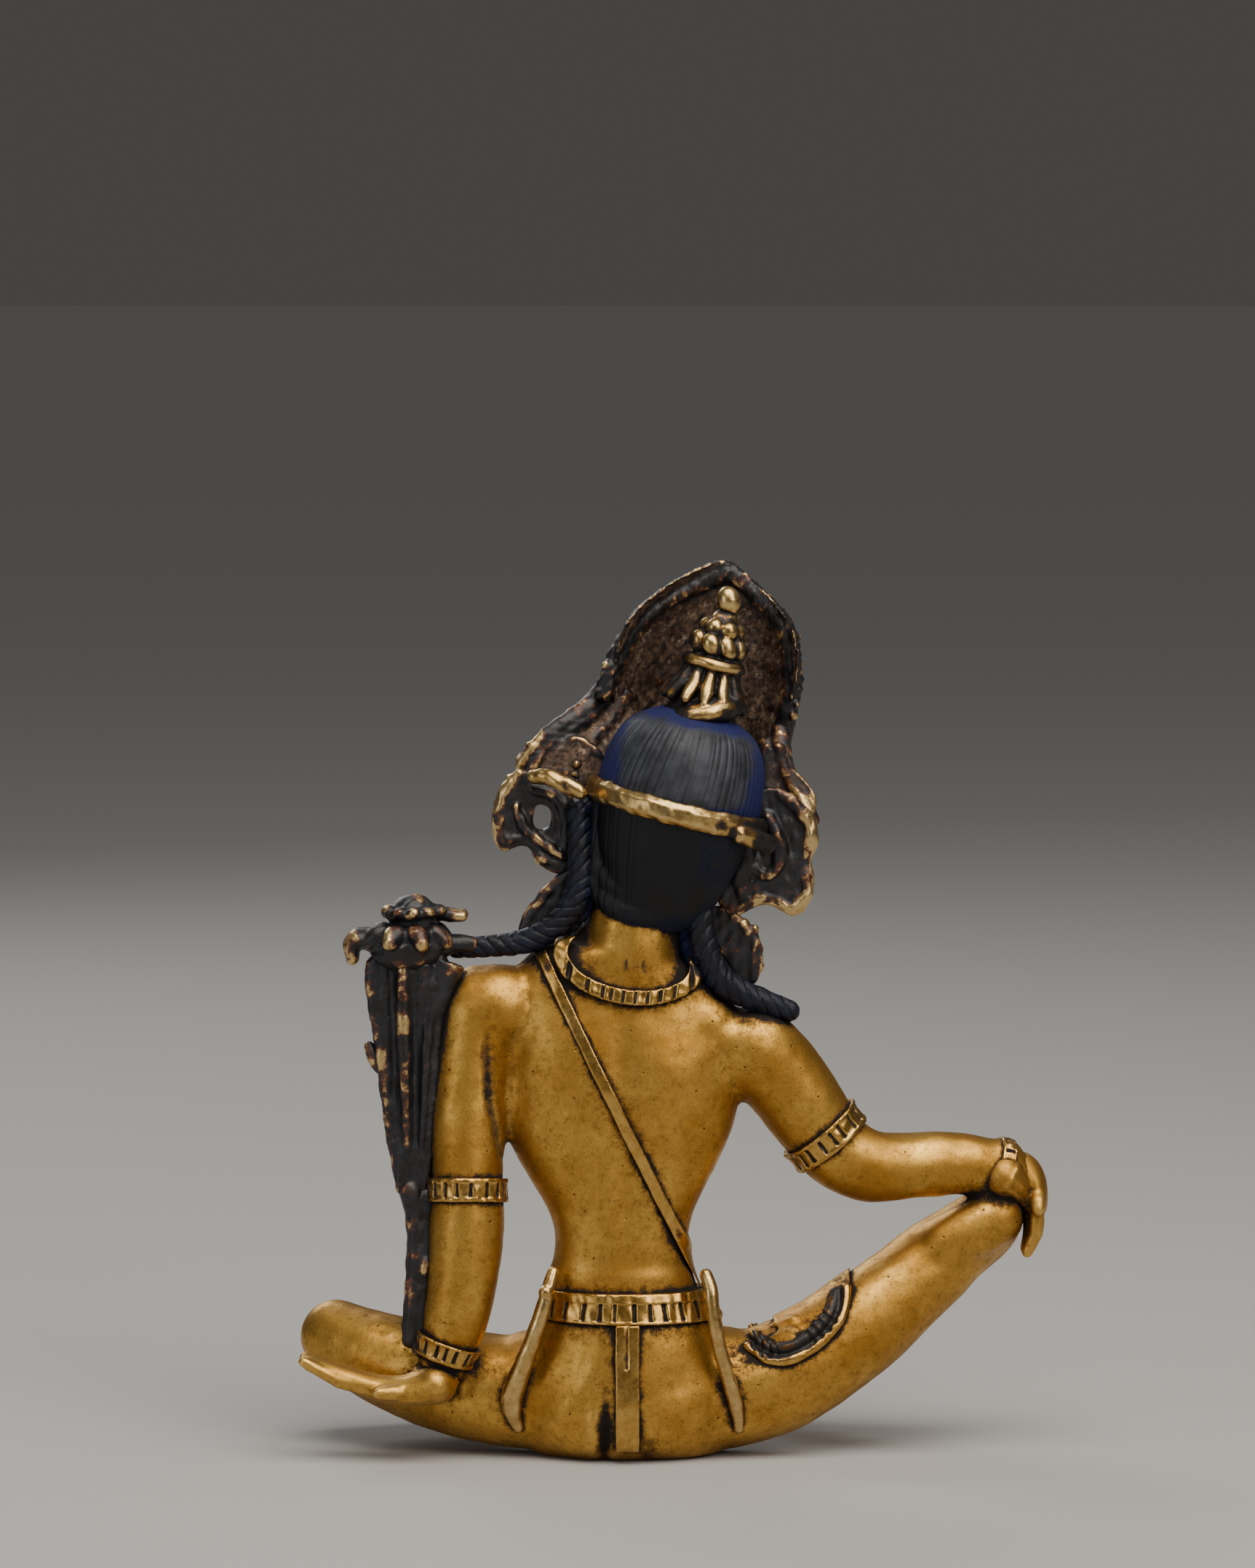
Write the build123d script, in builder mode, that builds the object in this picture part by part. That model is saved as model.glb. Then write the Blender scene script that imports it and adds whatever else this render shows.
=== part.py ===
from build123d import *
import os
from math import cos, radians, sin, sqrt

# A small gilt figure seated in royal ease, built member by member as a lost-wax workshop forms it.
# Millimetres. +Z is up, the figure faces -Y and its own left hand is towards +X.
# The origin is the middle of the flat under the seat.

os.makedirs("parts", exist_ok=True)

# ---------------------------------------------------------------- driving sizes
# Trunk
belt_height = 20.8          # ground to the seam under the belt
back_length = 43.5          # belt seam to the collar
hip_width = 31.0
hip_depth = 21.0
seat_flat_width = 22.0      # the flat that the figure rests on
seat_flat_depth = 13.0
loin_width = 21.5           # girth at the belt seam
loin_depth = 15.0
waist_width = 18.0
waist_depth = 12.5
chest_width = 32.5
chest_depth = 15.0
collar_width = 13.0
collar_depth = 11.0
shoulder_slope = 9.0        # degrees, the left shoulder rides higher
spine_y = 1.2
seam = 0.05                 # solder line left where two members are butted together

# Head
neck_length = 5.0           # collar to the chin's level
neck_width = 12.1
head_width = 19.5
head_depth = 22.0
face_height = 17.0          # chin to fillet
head_tilt = 12.0            # degrees, towards the raised knee
head_shift = -3.1           # the chin's level stands this far to the side of the seat's middle
head_y = -1.0

# Hair and crown
cap_height = 13.0
cap_stand = 1.45            # how far the hair cap stands out past the skull
fillet_height = 3.2
fillet_chamfer = 0.75
fillet_stand = 1.5
fillet_tilt = 14.5
chignon_height = 15.0
chignon_radius = 6.2
crown_tilt = 10.0
crown_height = 33.5
crown_width = 24.4
crown_wall = 1.4
rim_width = 1.6
rim_stand = 0.7
crown_clearance = 0.3

# Arms
upper_arm_width = 10.4
forearm_width = 10.1
wrist_width = 7.2
hand_length = 19.0
hand_width = 6.4
finger_radius = 1.0

# Legs
knee_reach_left = 40.0      # out from the middle to the knee's centre
knee_rise_left = 14.9
knee_reach_right = 49.6
knee_rise_right = 31.0
thigh_width = 15.6
knee_width = 10.0
shin_width = 9.6
ankle_width = 6.2
foot_length = 17.0
foot_width = 6.4

# Jewellery, dress and lotus
band_stand = 0.9            # how far a band stands out of the limb under it
armlet_width = 3.2
bracelet_width = 2.8
anklet_width = 2.2
belt_width = 4.0
cord_width = 1.6            # sacred thread
cord_stand = 0.6
hem_width = 2.4
tress_radius = 1.55
sash_width = 3.0
pleat_width = 3.2
leaf_height = 31.0          # lotus leaf, from the armlet up to the flower
leaf_width = 11.0
flower_radius = 6.0
petal_count = 8
pod_radius = 5.2

# Rounded ends of limbs: reach past the last section and share of its girth
CAP_STEPS = [(0.5, 0.866), (0.8, 0.6), (0.97, 0.243)]
SECTION_PITCH = 4.0         # along a limb, between its sections
SIDE = (1, 0, 0)
BACK = (0, 1, 0)


# ---------------------------------------------------------------- shared forms
def oval(plane, width, depth):
    """One oval section of a member; width lies along the plane's own x."""
    with BuildSketch(plane) as section:
        Ellipse(width / 2, depth / 2)
    return section.sketch


def curve(*points):
    """A smooth centre line through a few joints."""
    with BuildLine() as centre_line:
        Spline(*points)
    return centre_line.edge()


def girth_at(girths, place):
    """Width and depth of a limb at a place on its line, eased between the given girths."""
    for (near, *low), (far, *high) in zip(girths, girths[1:]):
        if place <= far:
            share = (place - near) / (far - near)
            ease = share * share * (3 - 2 * share)
            return [a + (b - a) * ease for a, b in zip(low, high)]
    return list(girths[-1][1:])


def member(path, girths, side=SIDE, swell=0.0, start_cap=True, end_cap=True):
    """A limb lofted along its centre line.

    Each girth is (place along the path, width along side, depth), and swell adds to the radius all round.
    """
    start, end = girths[0][0], girths[-1][0]
    count = max(2, round(path.length * (end - start) / SECTION_PITCH))

    def section(place, shift=0.0, share=1.0):
        heading = path.tangent_at(place)
        width, depth = [(size + 2 * swell) * share for size in girth_at(girths, place)]
        return oval(Plane(origin=path.position_at(place) + heading * shift, x_dir=side, z_dir=heading),
                    width, depth)

    def cap(place, direction):
        reach = direction * (min(girth_at(girths, place)) / 2 + swell)
        return [section(place, step * reach, share) for step, share in CAP_STEPS]

    sections = list(reversed(cap(start, -1))) if start_cap else []
    sections += [section(start + (end - start) * step / count) for step in range(count + 1)]
    if end_cap:
        sections += cap(end, 1)
    with BuildPart() as form:
        loft(sections)
    return form.part


def digit(points, radii, side=BACK):
    """A finger or toe: straight tapering bones through the joints, with a blunt tip."""
    joints = [Vector(*point) for point in points]
    heads = [(joints[1] - joints[0]).normalized()]
    heads += [((after - joint).normalized() + (joint - before).normalized()).normalized()
              for before, joint, after in zip(joints, joints[1:], joints[2:])]
    heads.append((joints[-1] - joints[-2]).normalized())
    stops = [(joint, head, radius) for joint, head, radius in zip(joints, heads, radii)]
    tip, head, radius = stops[-1]
    stops.append((tip + head * radius * 0.8, head, radius * 0.55))
    with BuildPart() as form:
        loft([oval(Plane(origin=spot, x_dir=side, z_dir=way), 2 * girth, 2 * girth)
              for spot, way, girth in stops],
             ruled=True)
    return form.part


def touching(form, *groups):
    """Those pieces whose boxes meet the form's, so that only real neighbours are cut from it."""
    box = form.part.bounding_box()
    near = []
    for piece in (piece for group in groups for piece in group):
        other = piece.part.bounding_box()
        if all(getattr(box.min, axis) < getattr(other.max, axis)
               and getattr(other.min, axis) < getattr(box.max, axis)
               for axis in "XYZ"):
            near.append(piece.part)
    return near


def band_zone(path, place, width, reach):
    """A short disc across a limb, used to take a band out of the swollen limb."""
    heading = path.tangent_at(place)
    with BuildPart() as zone:
        with BuildSketch(Plane(origin=path.position_at(place), z_dir=heading)):
            Circle(reach)
        extrude(amount=width / 2, both=True)
    return zone.part


def leaning(origin, lean):
    """A plane whose normal leans by so many degrees from +Z towards -X."""
    return Plane(origin=origin, x_dir=(cos(radians(lean)), 0, sin(radians(lean))),
                 z_dir=(-sin(radians(lean)), 0, cos(radians(lean))))


# ---------------------------------------------------------------- hips
hip_bulge = hip_width / 2 - seat_flat_width / 2
# share of the belt's height, width, depth, y of the centre
hip_sections = [
    (0.0, seat_flat_width, seat_flat_depth, -0.6),
    (0.06, seat_flat_width + 1.1 * hip_bulge, seat_flat_depth + 4.0, -0.4),
    (0.18, hip_width - 1.4, hip_depth - 1.2, 0.0),
    (0.38, hip_width, hip_depth, 0.1),
    (0.62, hip_width - 3.0, hip_depth - 1.6, 0.4),
    (0.84, loin_width + 2.6, loin_depth + 2.4, 0.9),
    (1.0, loin_width, loin_depth, spine_y),
]


def hips_form(swell=0.0):
    """The seat, flat underneath and closed at the belt."""
    with BuildPart() as form:
        loft([
            oval(Plane((0, y, rise * belt_height)), wide + 2 * swell, deep + 2 * swell)
            for rise, wide, deep, y in hip_sections
        ])
    return form.part


with BuildPart() as hips:
    add(hips_form())

# ---------------------------------------------------------------- torso
# rise along the back, sideways drift, width, depth, share of the shoulder slope;
# evenly spaced rises loft smoothly
torso_sections = [
    (seam / back_length, 0.0, loin_width, loin_depth, 0.0),
    (0.155, 0.9, waist_width, waist_depth, 0.0),
    (0.31, 1.0, waist_width * 1.15, waist_depth * 1.05, 0.1),
    (0.465, 1.5, chest_width * 0.86, chest_depth * 0.93, 0.3),
    (0.62, 1.4, chest_width * 0.99, chest_depth, 0.6),
    (0.775, 1.1, chest_width * 1.02, chest_depth * 0.97, 0.85),
    (0.93, 0.9, chest_width * 0.95, chest_depth * 0.83, 1.0),
    (1.085, 0.0, collar_width, collar_depth, 0.9),
]


def torso_form(swell=0.0):
    """The trunk from belt to collar."""
    sections = [
        oval(leaning((drift, spine_y, belt_height + rise * back_length), share * shoulder_slope),
             width + 2 * swell, depth + 2 * swell)
        for rise, drift, width, depth, share in torso_sections
    ]
    with BuildPart() as form:
        loft(sections)
    return form.part


with BuildPart() as torso:
    add(torso_form())

collar_height = belt_height + torso_sections[-1][0] * back_length + seam
collar_lean = torso_sections[-1][4] * shoulder_slope

# ---------------------------------------------------------------- head
chin_height = collar_height + neck_length - 2.5
head_axis = Vector(-sin(radians(head_tilt)), 0, cos(radians(head_tilt)))
chin_point = Vector(head_shift, head_y, chin_height)


def head_plane(rise, y=0.0):
    """A plane across the head, so far up from the chin."""
    return leaning(chin_point + head_axis * rise + Vector(0, y, 0), head_tilt)


# share of the face height, share of the head's width and depth, and its centre's y
head_sections = [
    (-0.03, 0.16, 0.12, -7.4),
    (0.02, 0.36, 0.28, -6.6),
    (0.12, 0.54, 0.46, -4.6),
    (0.3, 0.76, 0.7, -2.0),
    (0.53, 0.92, 0.87, -0.5),
    (0.76, 0.98, 0.96, 0.1),
    (1.0, 1.0, 1.0, 0.4),
]
nose_rise = 0.34 * face_height
brow_rise = 0.66 * face_height
# an ear's height from its middle, thickness and breadth
ear_sections = [(-6.0, 1.0, 1.2), (-4.6, 1.9, 2.4), (-1.0, 1.7, 2.0), (2.2, 2.0, 3.4), (3.8, 1.2, 2.2)]
ear_reach = head_width / 2 - 0.5

with BuildPart() as head:
    loft([
        oval(head_plane(rise * face_height, y), head_width * wide, head_depth * deep)
        for rise, wide, deep, y in head_sections
    ])
    # neck, rising from the collar into the skull
    loft([
        oval(leaning((0, spine_y, collar_height), collar_lean), collar_width, collar_depth),
        oval(leaning((-0.9, spine_y - 0.4, collar_height + 0.5 * neck_length), head_tilt),
             neck_width, collar_depth - 0.2),
        oval(leaning((-1.8, spine_y - 0.8, collar_height + 1.3 * neck_length), head_tilt),
             neck_width + 0.6, collar_depth + 0.6),
    ])
    # nose: narrow at the brow, full at the tip
    loft([
        oval(head_plane(brow_rise, -0.47 * head_depth), 1.6, 1.6),
        oval(head_plane(0.5 * face_height, -0.47 * head_depth - 0.5), 2.0, 2.4),
        oval(head_plane(nose_rise, -0.47 * head_depth - 0.7), 3.4, 3.2),
        oval(head_plane(nose_rise - 0.7, -0.47 * head_depth - 0.2), 2.4, 1.8),
    ])
    # ears with long lobes
    ear_plane = head_plane(0.5 * face_height, 1.0)
    for side in (-1, 1):
        loft([
            oval(Plane(origin=ear_plane.from_local_coords((side * ear_reach, 0.3 * lift, lift)),
                       x_dir=ear_plane.x_dir, z_dir=ear_plane.z_dir), wide, deep)
            for lift, wide, deep in ear_sections
        ])

# ---------------------------------------------------------------- hair
brow_plane = head_plane(face_height)          # the level where the fillet hides the cap's seam
cap_width = head_width + 2 * cap_stand
cap_depth = head_depth + 2 * cap_stand - 0.8

with BuildPart() as hair_cap:
    loft([
        oval(head_plane(face_height + lift * cap_height, 0.4), cap_width * share, cap_depth * share)
        for lift, share in [(0.0, 0.985), (0.22, 1.0), (0.5, 0.95), (0.74, 0.84), (0.9, 0.66), (1.0, 0.44)]
    ])

# back hair: share of the face height, width, depth, y of its centre
back_hair_sections = [
    (1.0, head_width + 1.6, 16.0, 5.0),
    (0.72, head_width + 0.2, 15.2, 4.6),
    (0.48, head_width - 2.2, 12.4, 4.7),
    (0.25, head_width - 5.8, 8.6, 5.0),
    (0.1, head_width - 10.5, 4.6, 5.6),
    (0.04, 4.0, 2.4, 5.9),
]
with BuildPart() as back_hair:
    loft([oval(head_plane(rise * face_height, y), w, d) for rise, w, d, y in back_hair_sections])
    add(head.part, mode=Mode.SUBTRACT)

fillet_plane = leaning(brow_plane.origin + Vector(0, 0.4, 0), fillet_tilt)
with BuildPart() as hair_fillet:
    with BuildSketch(fillet_plane.offset(-fillet_height / 2)):
        Ellipse(cap_width / 2 + fillet_stand, cap_depth / 2 + fillet_stand)
    extrude(amount=fillet_height)
    chamfer(hair_fillet.edges(), fillet_chamfer)
    add([head.part, hair_cap.part, back_hair.part], mode=Mode.SUBTRACT)

# chignon: one turned profile of stepped tiers, with petals round its foot
chignon_seat = Vector(-0.3, 0.6, 0) + brow_plane.origin + head_axis * (cap_height - 1.9)
chignon_plane = Plane(origin=chignon_seat, x_dir=(cos(radians(crown_tilt)), 0, sin(radians(crown_tilt))),
                      z_dir=(0, -1, 0))
# share of the height and share of the foot's radius at each step of the tiers
chignon_profile = [(0.0, 0.86), (0.1, 0.94), (0.2, 0.8), (0.36, 0.66), (0.5, 0.58), (0.54, 0.66),
                   (0.61, 0.66),
                   (0.65, 0.5), (0.7, 0.6), (0.8, 0.57), (0.84, 0.46), (0.92, 0.44), (1.0, 0.26)]
chignon_petals = 10
with BuildPart() as chignon:
    with BuildSketch(chignon_plane):
        with BuildLine():
            Polyline((0, 0), *[(share * chignon_radius, rise * chignon_height)
                               for rise, share in chignon_profile],
                     (0, chignon_height), (0, 0))
        make_face()
    revolve(axis=Axis(chignon_seat, leaning((0, 0, 0), crown_tilt).z_dir))
    foot_plane = leaning(chignon_seat, crown_tilt)
    with Locations(foot_plane.offset(0.1 * chignon_height)):
        with PolarLocations(0.82 * chignon_radius, chignon_petals):
            Sphere(0.2 * chignon_radius)
    add([hair_cap.part], mode=Mode.SUBTRACT)

finial_radius = 1.75
finial_height = 3.6
finial_seat = chignon_seat + foot_plane.z_dir * (chignon_height + seam)
with BuildPart() as crown_finial:
    with BuildSketch(Plane(origin=finial_seat, x_dir=chignon_plane.x_dir, z_dir=(0, -1, 0))):
        with BuildLine():
            Polyline((0, 0), (0.75 * finial_radius, 0), (0.9 * finial_radius, 0.5),
                     (0.55 * finial_radius, 1.0))
            Spline((0.55 * finial_radius, 1.0), (finial_radius, 1.0 + 0.45 * finial_height),
                   (0.35 * finial_radius, 1.0 + finial_height))
            Polyline((0.35 * finial_radius, 1.0 + finial_height), (0, 1.1 + finial_height), (0, 0))
        make_face()
    revolve(axis=Axis(finial_seat, foot_plane.z_dir))

# ---------------------------------------------------------------- crown
crown_seat = brow_plane.origin + Vector(-0.6, 0.0, -0.2)
crown_plane = leaning(crown_seat, crown_tilt)
crown_up = crown_plane.z_dir
crown_base_radius = cap_depth / 2 + crown_clearance + crown_wall
# the hood's outer radius less the base radius, against the share of its height
hood_profile = [(-0.05, 0.2), (0.25, 1.3), (0.6, 0.2), (1.02, -3.6)]


def hood(wall_in, wall_out):
    """A hood turned about the crown's axis, open to the back."""
    inner = [(crown_base_radius + bulge - wall_in, rise * crown_height) for rise, bulge in hood_profile]
    outer = [(crown_base_radius + bulge + wall_out, rise * crown_height) for rise, bulge in hood_profile]
    profile_plane = Plane(origin=crown_seat, x_dir=crown_plane.x_dir, z_dir=(0, -1, 0))
    with BuildPart() as form:
        with BuildSketch(profile_plane):
            with BuildLine():
                Spline(*outer)
                Line(outer[-1], inner[-1])
                Spline(*reversed(inner))
                Line(inner[0], outer[0])
            make_face()
        revolve(axis=Axis(crown_seat, crown_up), revolution_arc=-180)
    return form.part


# half width against rise, as shares of the crown's width and height
leaf_shape = [(0.47, 0.0), (0.46, 0.3), (0.5, 0.54), (0.45, 0.76), (0.26, 0.92), (0.0, 1.0)]


def leaf_prism(inset):
    """The crown's leaf outline carried through from front to back."""
    points = [(max(wide * crown_width - inset, 0), rise * crown_height - inset * rise)
              for wide, rise in leaf_shape]
    with BuildPart() as form:
        with BuildSketch(Plane(origin=crown_seat, x_dir=crown_plane.x_dir, z_dir=(0, -1, 0))):
            with BuildLine():
                Spline(*points)
                Spline(*[(-x, y) for x, y in points])
                Line((-points[0][0], 0), (points[0][0], 0))
            make_face()
        extrude(amount=crown_base_radius + 6)
    return form.part


leaf_inside = leaf_prism(rim_width)
with BuildPart() as crown_plate:
    add(hood(crown_wall, 0))
    add(leaf_inside, mode=Mode.INTERSECT)
    add([hair_fillet.part, hair_cap.part], mode=Mode.SUBTRACT)

with BuildPart() as crown_rim:
    add(hood(crown_wall + 0.2, rim_stand))
    add(leaf_prism(0), mode=Mode.INTERSECT)
    add([leaf_inside, hair_fillet.part, hair_cap.part], mode=Mode.SUBTRACT)

gem_width = 4.4
gem_height = 6.2
gem_seat = crown_seat + crown_up * (0.33 * crown_height) + Vector(0, -crown_base_radius, 0)
# how far out of the hood, and share of the stone's size: bezel first, then the cut stone
gem_sections = [(0.0, 1.25), (2.2, 1.2), (2.5, 1.0), (2.9, 0.96), (3.5, 0.7), (3.8, 0.35)]
with BuildPart() as crown_gem:
    loft([
        oval(Plane(origin=gem_seat + Vector(0, -out, 0), x_dir=crown_plane.x_dir, z_dir=(0, -1, 0)),
             gem_width * share, gem_height * share)
        for out, share in gem_sections
    ], ruled=True)
    add(crown_plate.part, mode=Mode.SUBTRACT)

# ---------------------------------------------------------------- legs
hip_left = Vector(hip_width / 2 - 7.5, -0.4, 8.3)
hip_right = Vector(7.5 - hip_width / 2, -0.4, 8.3)
knee_left = Vector(knee_reach_left, -9.5, knee_rise_left)
knee_right = Vector(-knee_reach_right, -8.0, knee_rise_right)

left_thigh_line = curve(hip_left, hip_left + Vector(12.0, -1.4, 0.5), hip_left + Vector(22.5, -4.2, 2.9),
                        knee_left)
left_thigh_girths = [
    (0.0, thigh_width - 0.8, thigh_width),
    (0.35, thigh_width - 1.2, thigh_width - 0.8),
    (0.65, thigh_width - 2.6, thigh_width - 2.2),
    (0.85, thigh_width - 4.2, thigh_width - 4.2),
    (0.98, knee_width, knee_width),
]
with BuildPart() as left_thigh:
    add(member(left_thigh_line, left_thigh_girths, side=BACK))
    add(hips.part, mode=Mode.SUBTRACT)

right_thigh_line = curve(hip_right, hip_right + Vector(-8.0, -0.3, 0.6), hip_right + Vector(-24.6, -3.0, 9.6),
                         knee_right)
right_thigh_girths = [
    (0.0, thigh_width - 0.6, thigh_width - 0.4),
    (0.2, thigh_width - 0.8, thigh_width - 0.4),
    (0.5, thigh_width - 1.8, thigh_width - 2.0),
    (0.75, thigh_width - 3.2, thigh_width - 3.6),
    (0.97, knee_width - 0.2, knee_width - 0.6),
]
with BuildPart() as right_thigh:
    add(member(right_thigh_line, right_thigh_girths, side=BACK))
    add(hips.part, mode=Mode.SUBTRACT)

# the left shin folds back along the ground in front of the seat
ankle_left = Vector(7.0, -23.5, 4.6)
left_shin_line = curve(knee_left + Vector(-1.2, -3.4, -1.4),
                       (knee_left + ankle_left) / 2 + Vector(0.5, -3.0, -0.6),
                       ankle_left)
left_shin_girths = [(0.0, shin_width, shin_width), (0.4, shin_width + 0.6, shin_width + 0.4),
                    (0.75, shin_width - 1.6, shin_width - 1.6), (1.0, ankle_width, ankle_width)]
with BuildPart() as left_shin:
    add(member(left_shin_line, left_shin_girths, side=BACK, end_cap=False))
    add([left_thigh.part, hips.part], mode=Mode.SUBTRACT)

# the right shin comes down beside the thigh to a foot set flat on the ground
ankle_right = Vector(-17.5, -24.0, 6.4)
right_shin_line = curve(knee_right + Vector(0.6, -4.0, -1.6),
                        (knee_right + ankle_right) / 2 + Vector(0, -1.0, -2.1),
                        ankle_right)
right_shin_girths = [(0.0, shin_width - 0.8, shin_width - 0.8), (0.35, shin_width + 0.4, shin_width + 0.4),
                     (0.75, shin_width - 1.6, shin_width - 1.8), (1.0, ankle_width, ankle_width)]
with BuildPart() as right_shin:
    add(member(right_shin_line, right_shin_girths, side=BACK, end_cap=False))
    add([right_thigh.part, hips.part], mode=Mode.SUBTRACT)

# a foot's section: share of its length from the ankle, width, height
foot_sections = [(-0.25, 2.6, 2.4), (-0.2, 4.4, 4.4), (0.0, 5.2, 6.2), (0.25, foot_width - 0.6, 5.0),
                 (0.45, foot_width, 3.8), (0.6, foot_width + 0.2, 2.8)]
# a toe's place across, radius, and how far it reaches as a share of the length
toes = [(-0.38, 1.3, 0.74), (-0.13, 0.95, 0.76), (0.07, 0.9, 0.72), (0.25, 0.85, 0.67), (0.41, 0.75, 0.6)]


def foot_form(ankle, heading, across, lift):
    """A foot with its toes along heading; lift(height) is how high its middle runs."""
    ground = Vector(ankle.X, ankle.Y, 0)
    with BuildPart() as form:
        loft([
            oval(Plane(origin=ground + heading * (share * foot_length) + Vector(0, 0, lift(tall)),
                       x_dir=across, z_dir=heading), wide, tall)
            for share, wide, tall in foot_sections
        ])
        for place, radius, reach in toes:
            root = ground + heading * (0.5 * foot_length) + across * (place * foot_width)
            root += Vector(0, 0, lift(2 * radius))
            add(digit([root, root + heading * ((reach - 0.5) * foot_length - radius)], [radius, radius],
                      side=across))
        with Locations(ground):
            Box(2 * foot_length, 2 * foot_length, foot_length, align=(Align.CENTER, Align.CENTER, Align.MAX),
                mode=Mode.SUBTRACT)
    return form.part


sole_bed = 0.5              # how deep the flat takes into the sole
right_heading = Vector(0.26, -0.966, 0)
with BuildPart() as right_foot:
    add(foot_form(ankle_right, right_heading, Vector(-0.966, -0.26, 0), lambda tall: tall / 2 - sole_bed))
    loft([
        oval(Plane(origin=ankle_right, x_dir=BACK, z_dir=right_shin_line.tangent_at(1)), ankle_width,
             ankle_width),
        oval(Plane(origin=(ankle_right.X, ankle_right.Y, 2.0), x_dir=BACK, z_dir=(0, 0, -1)), 5.6, 4.6),
    ], ruled=True)
    add(right_shin.part, mode=Mode.SUBTRACT)

# the left foot lies on its outer edge, sole turned forward
left_heading = Vector(-0.94, -0.342, 0)
left_roll = 55.0
left_across = Vector(0.342 * cos(radians(left_roll)), -0.94 * cos(radians(left_roll)),
                     -sin(radians(left_roll)))
with BuildPart() as left_foot:
    add(foot_form(ankle_left, left_heading, left_across, lambda tall: foot_width / 2 - sole_bed))
    add(left_shin.part, mode=Mode.SUBTRACT)

with BuildPart() as left_anklet:
    add(member(left_shin_line, left_shin_girths, side=BACK, swell=band_stand, end_cap=False))
    add(band_zone(left_shin_line, 0.88, anklet_width, 6.0), mode=Mode.INTERSECT)
    add([left_shin.part, left_foot.part], mode=Mode.SUBTRACT)
with BuildPart() as right_anklet:
    add(member(right_shin_line, right_shin_girths, side=BACK, swell=band_stand, end_cap=False))
    add(band_zone(right_shin_line, 0.86, anklet_width, 6.0), mode=Mode.INTERSECT)
    add([right_shin.part, right_foot.part], mode=Mode.SUBTRACT)

# ---------------------------------------------------------------- arms
shoulder_left = Vector(chest_width / 2 + 3.0, 1.0, belt_height + 0.912 * back_length)
shoulder_span = chest_width + 3.6
shoulder_right = shoulder_left - Vector(shoulder_span, 0, shoulder_span * sin(radians(shoulder_slope)))
wrist_left = hip_left + Vector(17.3, 6.0, 3.9)
wrist_right = knee_right + Vector(-2.6, 3.5, 6.9)
elbow_left = shoulder_left + (wrist_left - shoulder_left) * 0.507 + Vector(-0.9, 1.3, 0)
elbow_right = shoulder_right + (wrist_right - shoulder_right) * 0.42 + Vector(0.6, 0, -8.5)

left_arm_line = curve(shoulder_left, (shoulder_left + elbow_left) / 2 + Vector(0.9, 0, 0), elbow_left,
                      wrist_left)
left_arm_girths = [
    (0.0, upper_arm_width + 1.8, upper_arm_width + 1.0),
    (0.15, upper_arm_width + 0.8, upper_arm_width + 0.4),
    (0.3, upper_arm_width, upper_arm_width - 0.2),
    (0.48, upper_arm_width - 0.8, upper_arm_width - 0.8),
    (0.6, forearm_width, forearm_width - 0.6),
    (0.8, forearm_width - 0.9, forearm_width - 1.2),
    (0.93, wrist_width + 0.5, wrist_width),
    (1.0, wrist_width, wrist_width - 0.8),
]
right_arm_line = curve(shoulder_right, (shoulder_right + elbow_right) / 2 + Vector(1.0, 0, 0.9), elbow_right,
                       (elbow_right + wrist_right) / 2 + Vector(0, 0.3, 0.7), wrist_right)
right_arm_girths = [
    (0.0, upper_arm_width + 1.8, upper_arm_width + 1.0),
    (0.12, upper_arm_width + 1.4, upper_arm_width + 0.4),
    (0.25, upper_arm_width + 0.8, upper_arm_width - 0.2),
    (0.38, upper_arm_width, upper_arm_width - 0.8),
    (0.52, forearm_width - 0.1, forearm_width - 0.6),
    (0.7, forearm_width - 1.2, forearm_width - 1.6),
    (0.88, wrist_width - 0.8, wrist_width - 0.8),
    (1.0, wrist_width - 1.8, wrist_width - 1.2),
]
left_elbow_place = 0.5
right_elbow_place = 0.36


def arm_piece(line, girths, place, keep):
    """One side of an arm parted across its line at the seam that the armlet hides."""
    heading = line.tangent_at(place)
    shift = seam / 2 if keep == Keep.TOP else -seam / 2
    with BuildPart() as form:
        add(member(line, girths, end_cap=False))
        split(bisect_by=Plane(origin=line.position_at(place) + heading * shift, z_dir=heading), keep=keep)
    return form.part


with BuildPart() as left_upper_arm:
    add(arm_piece(left_arm_line, left_arm_girths, left_elbow_place, Keep.BOTTOM))
    add(torso.part, mode=Mode.SUBTRACT)
with BuildPart() as left_forearm:
    add(arm_piece(left_arm_line, left_arm_girths, left_elbow_place, Keep.TOP))
    add([torso.part, left_thigh.part], mode=Mode.SUBTRACT)
with BuildPart() as right_upper_arm:
    add(arm_piece(right_arm_line, right_arm_girths, right_elbow_place, Keep.BOTTOM))
    add(torso.part, mode=Mode.SUBTRACT)
with BuildPart() as right_forearm:
    add(arm_piece(right_arm_line, right_arm_girths, right_elbow_place, Keep.TOP))
    add([right_thigh.part, right_shin.part], mode=Mode.SUBTRACT)

# hands: each section's shift from the wrist along x and z, heading in degrees, width and thickness
left_palm = [(0.0, -seam, -82, wrist_width - 0.8, wrist_width), (1.0, -1.8, -58, hand_width, 5.0),
             (3.3, -2.6, -20, hand_width + 0.2, 3.8), (6.3, -2.7, 3, hand_width + 0.4, 2.9),
             (9.0, -2.3, 12, hand_width, 2.4)]
left_fingers = [(8.0, -2.5), (13.2, -1.2), (hand_length - 1.0, 1.5)]
right_palm = [(-seam, 0.0, 190, wrist_width - 1.2, wrist_width - 1.8),
              (-2.1, -1.1, 222, hand_width - 0.4, 4.4),
              (-3.0, -3.2, 256, hand_width, 3.1), (-3.0, -5.6, 270, hand_width, 2.6)]
right_fingers = [(-3.0, -5.0), (-2.8, -8.4), (-1.6, -11.0)]
finger_count = 4


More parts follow.
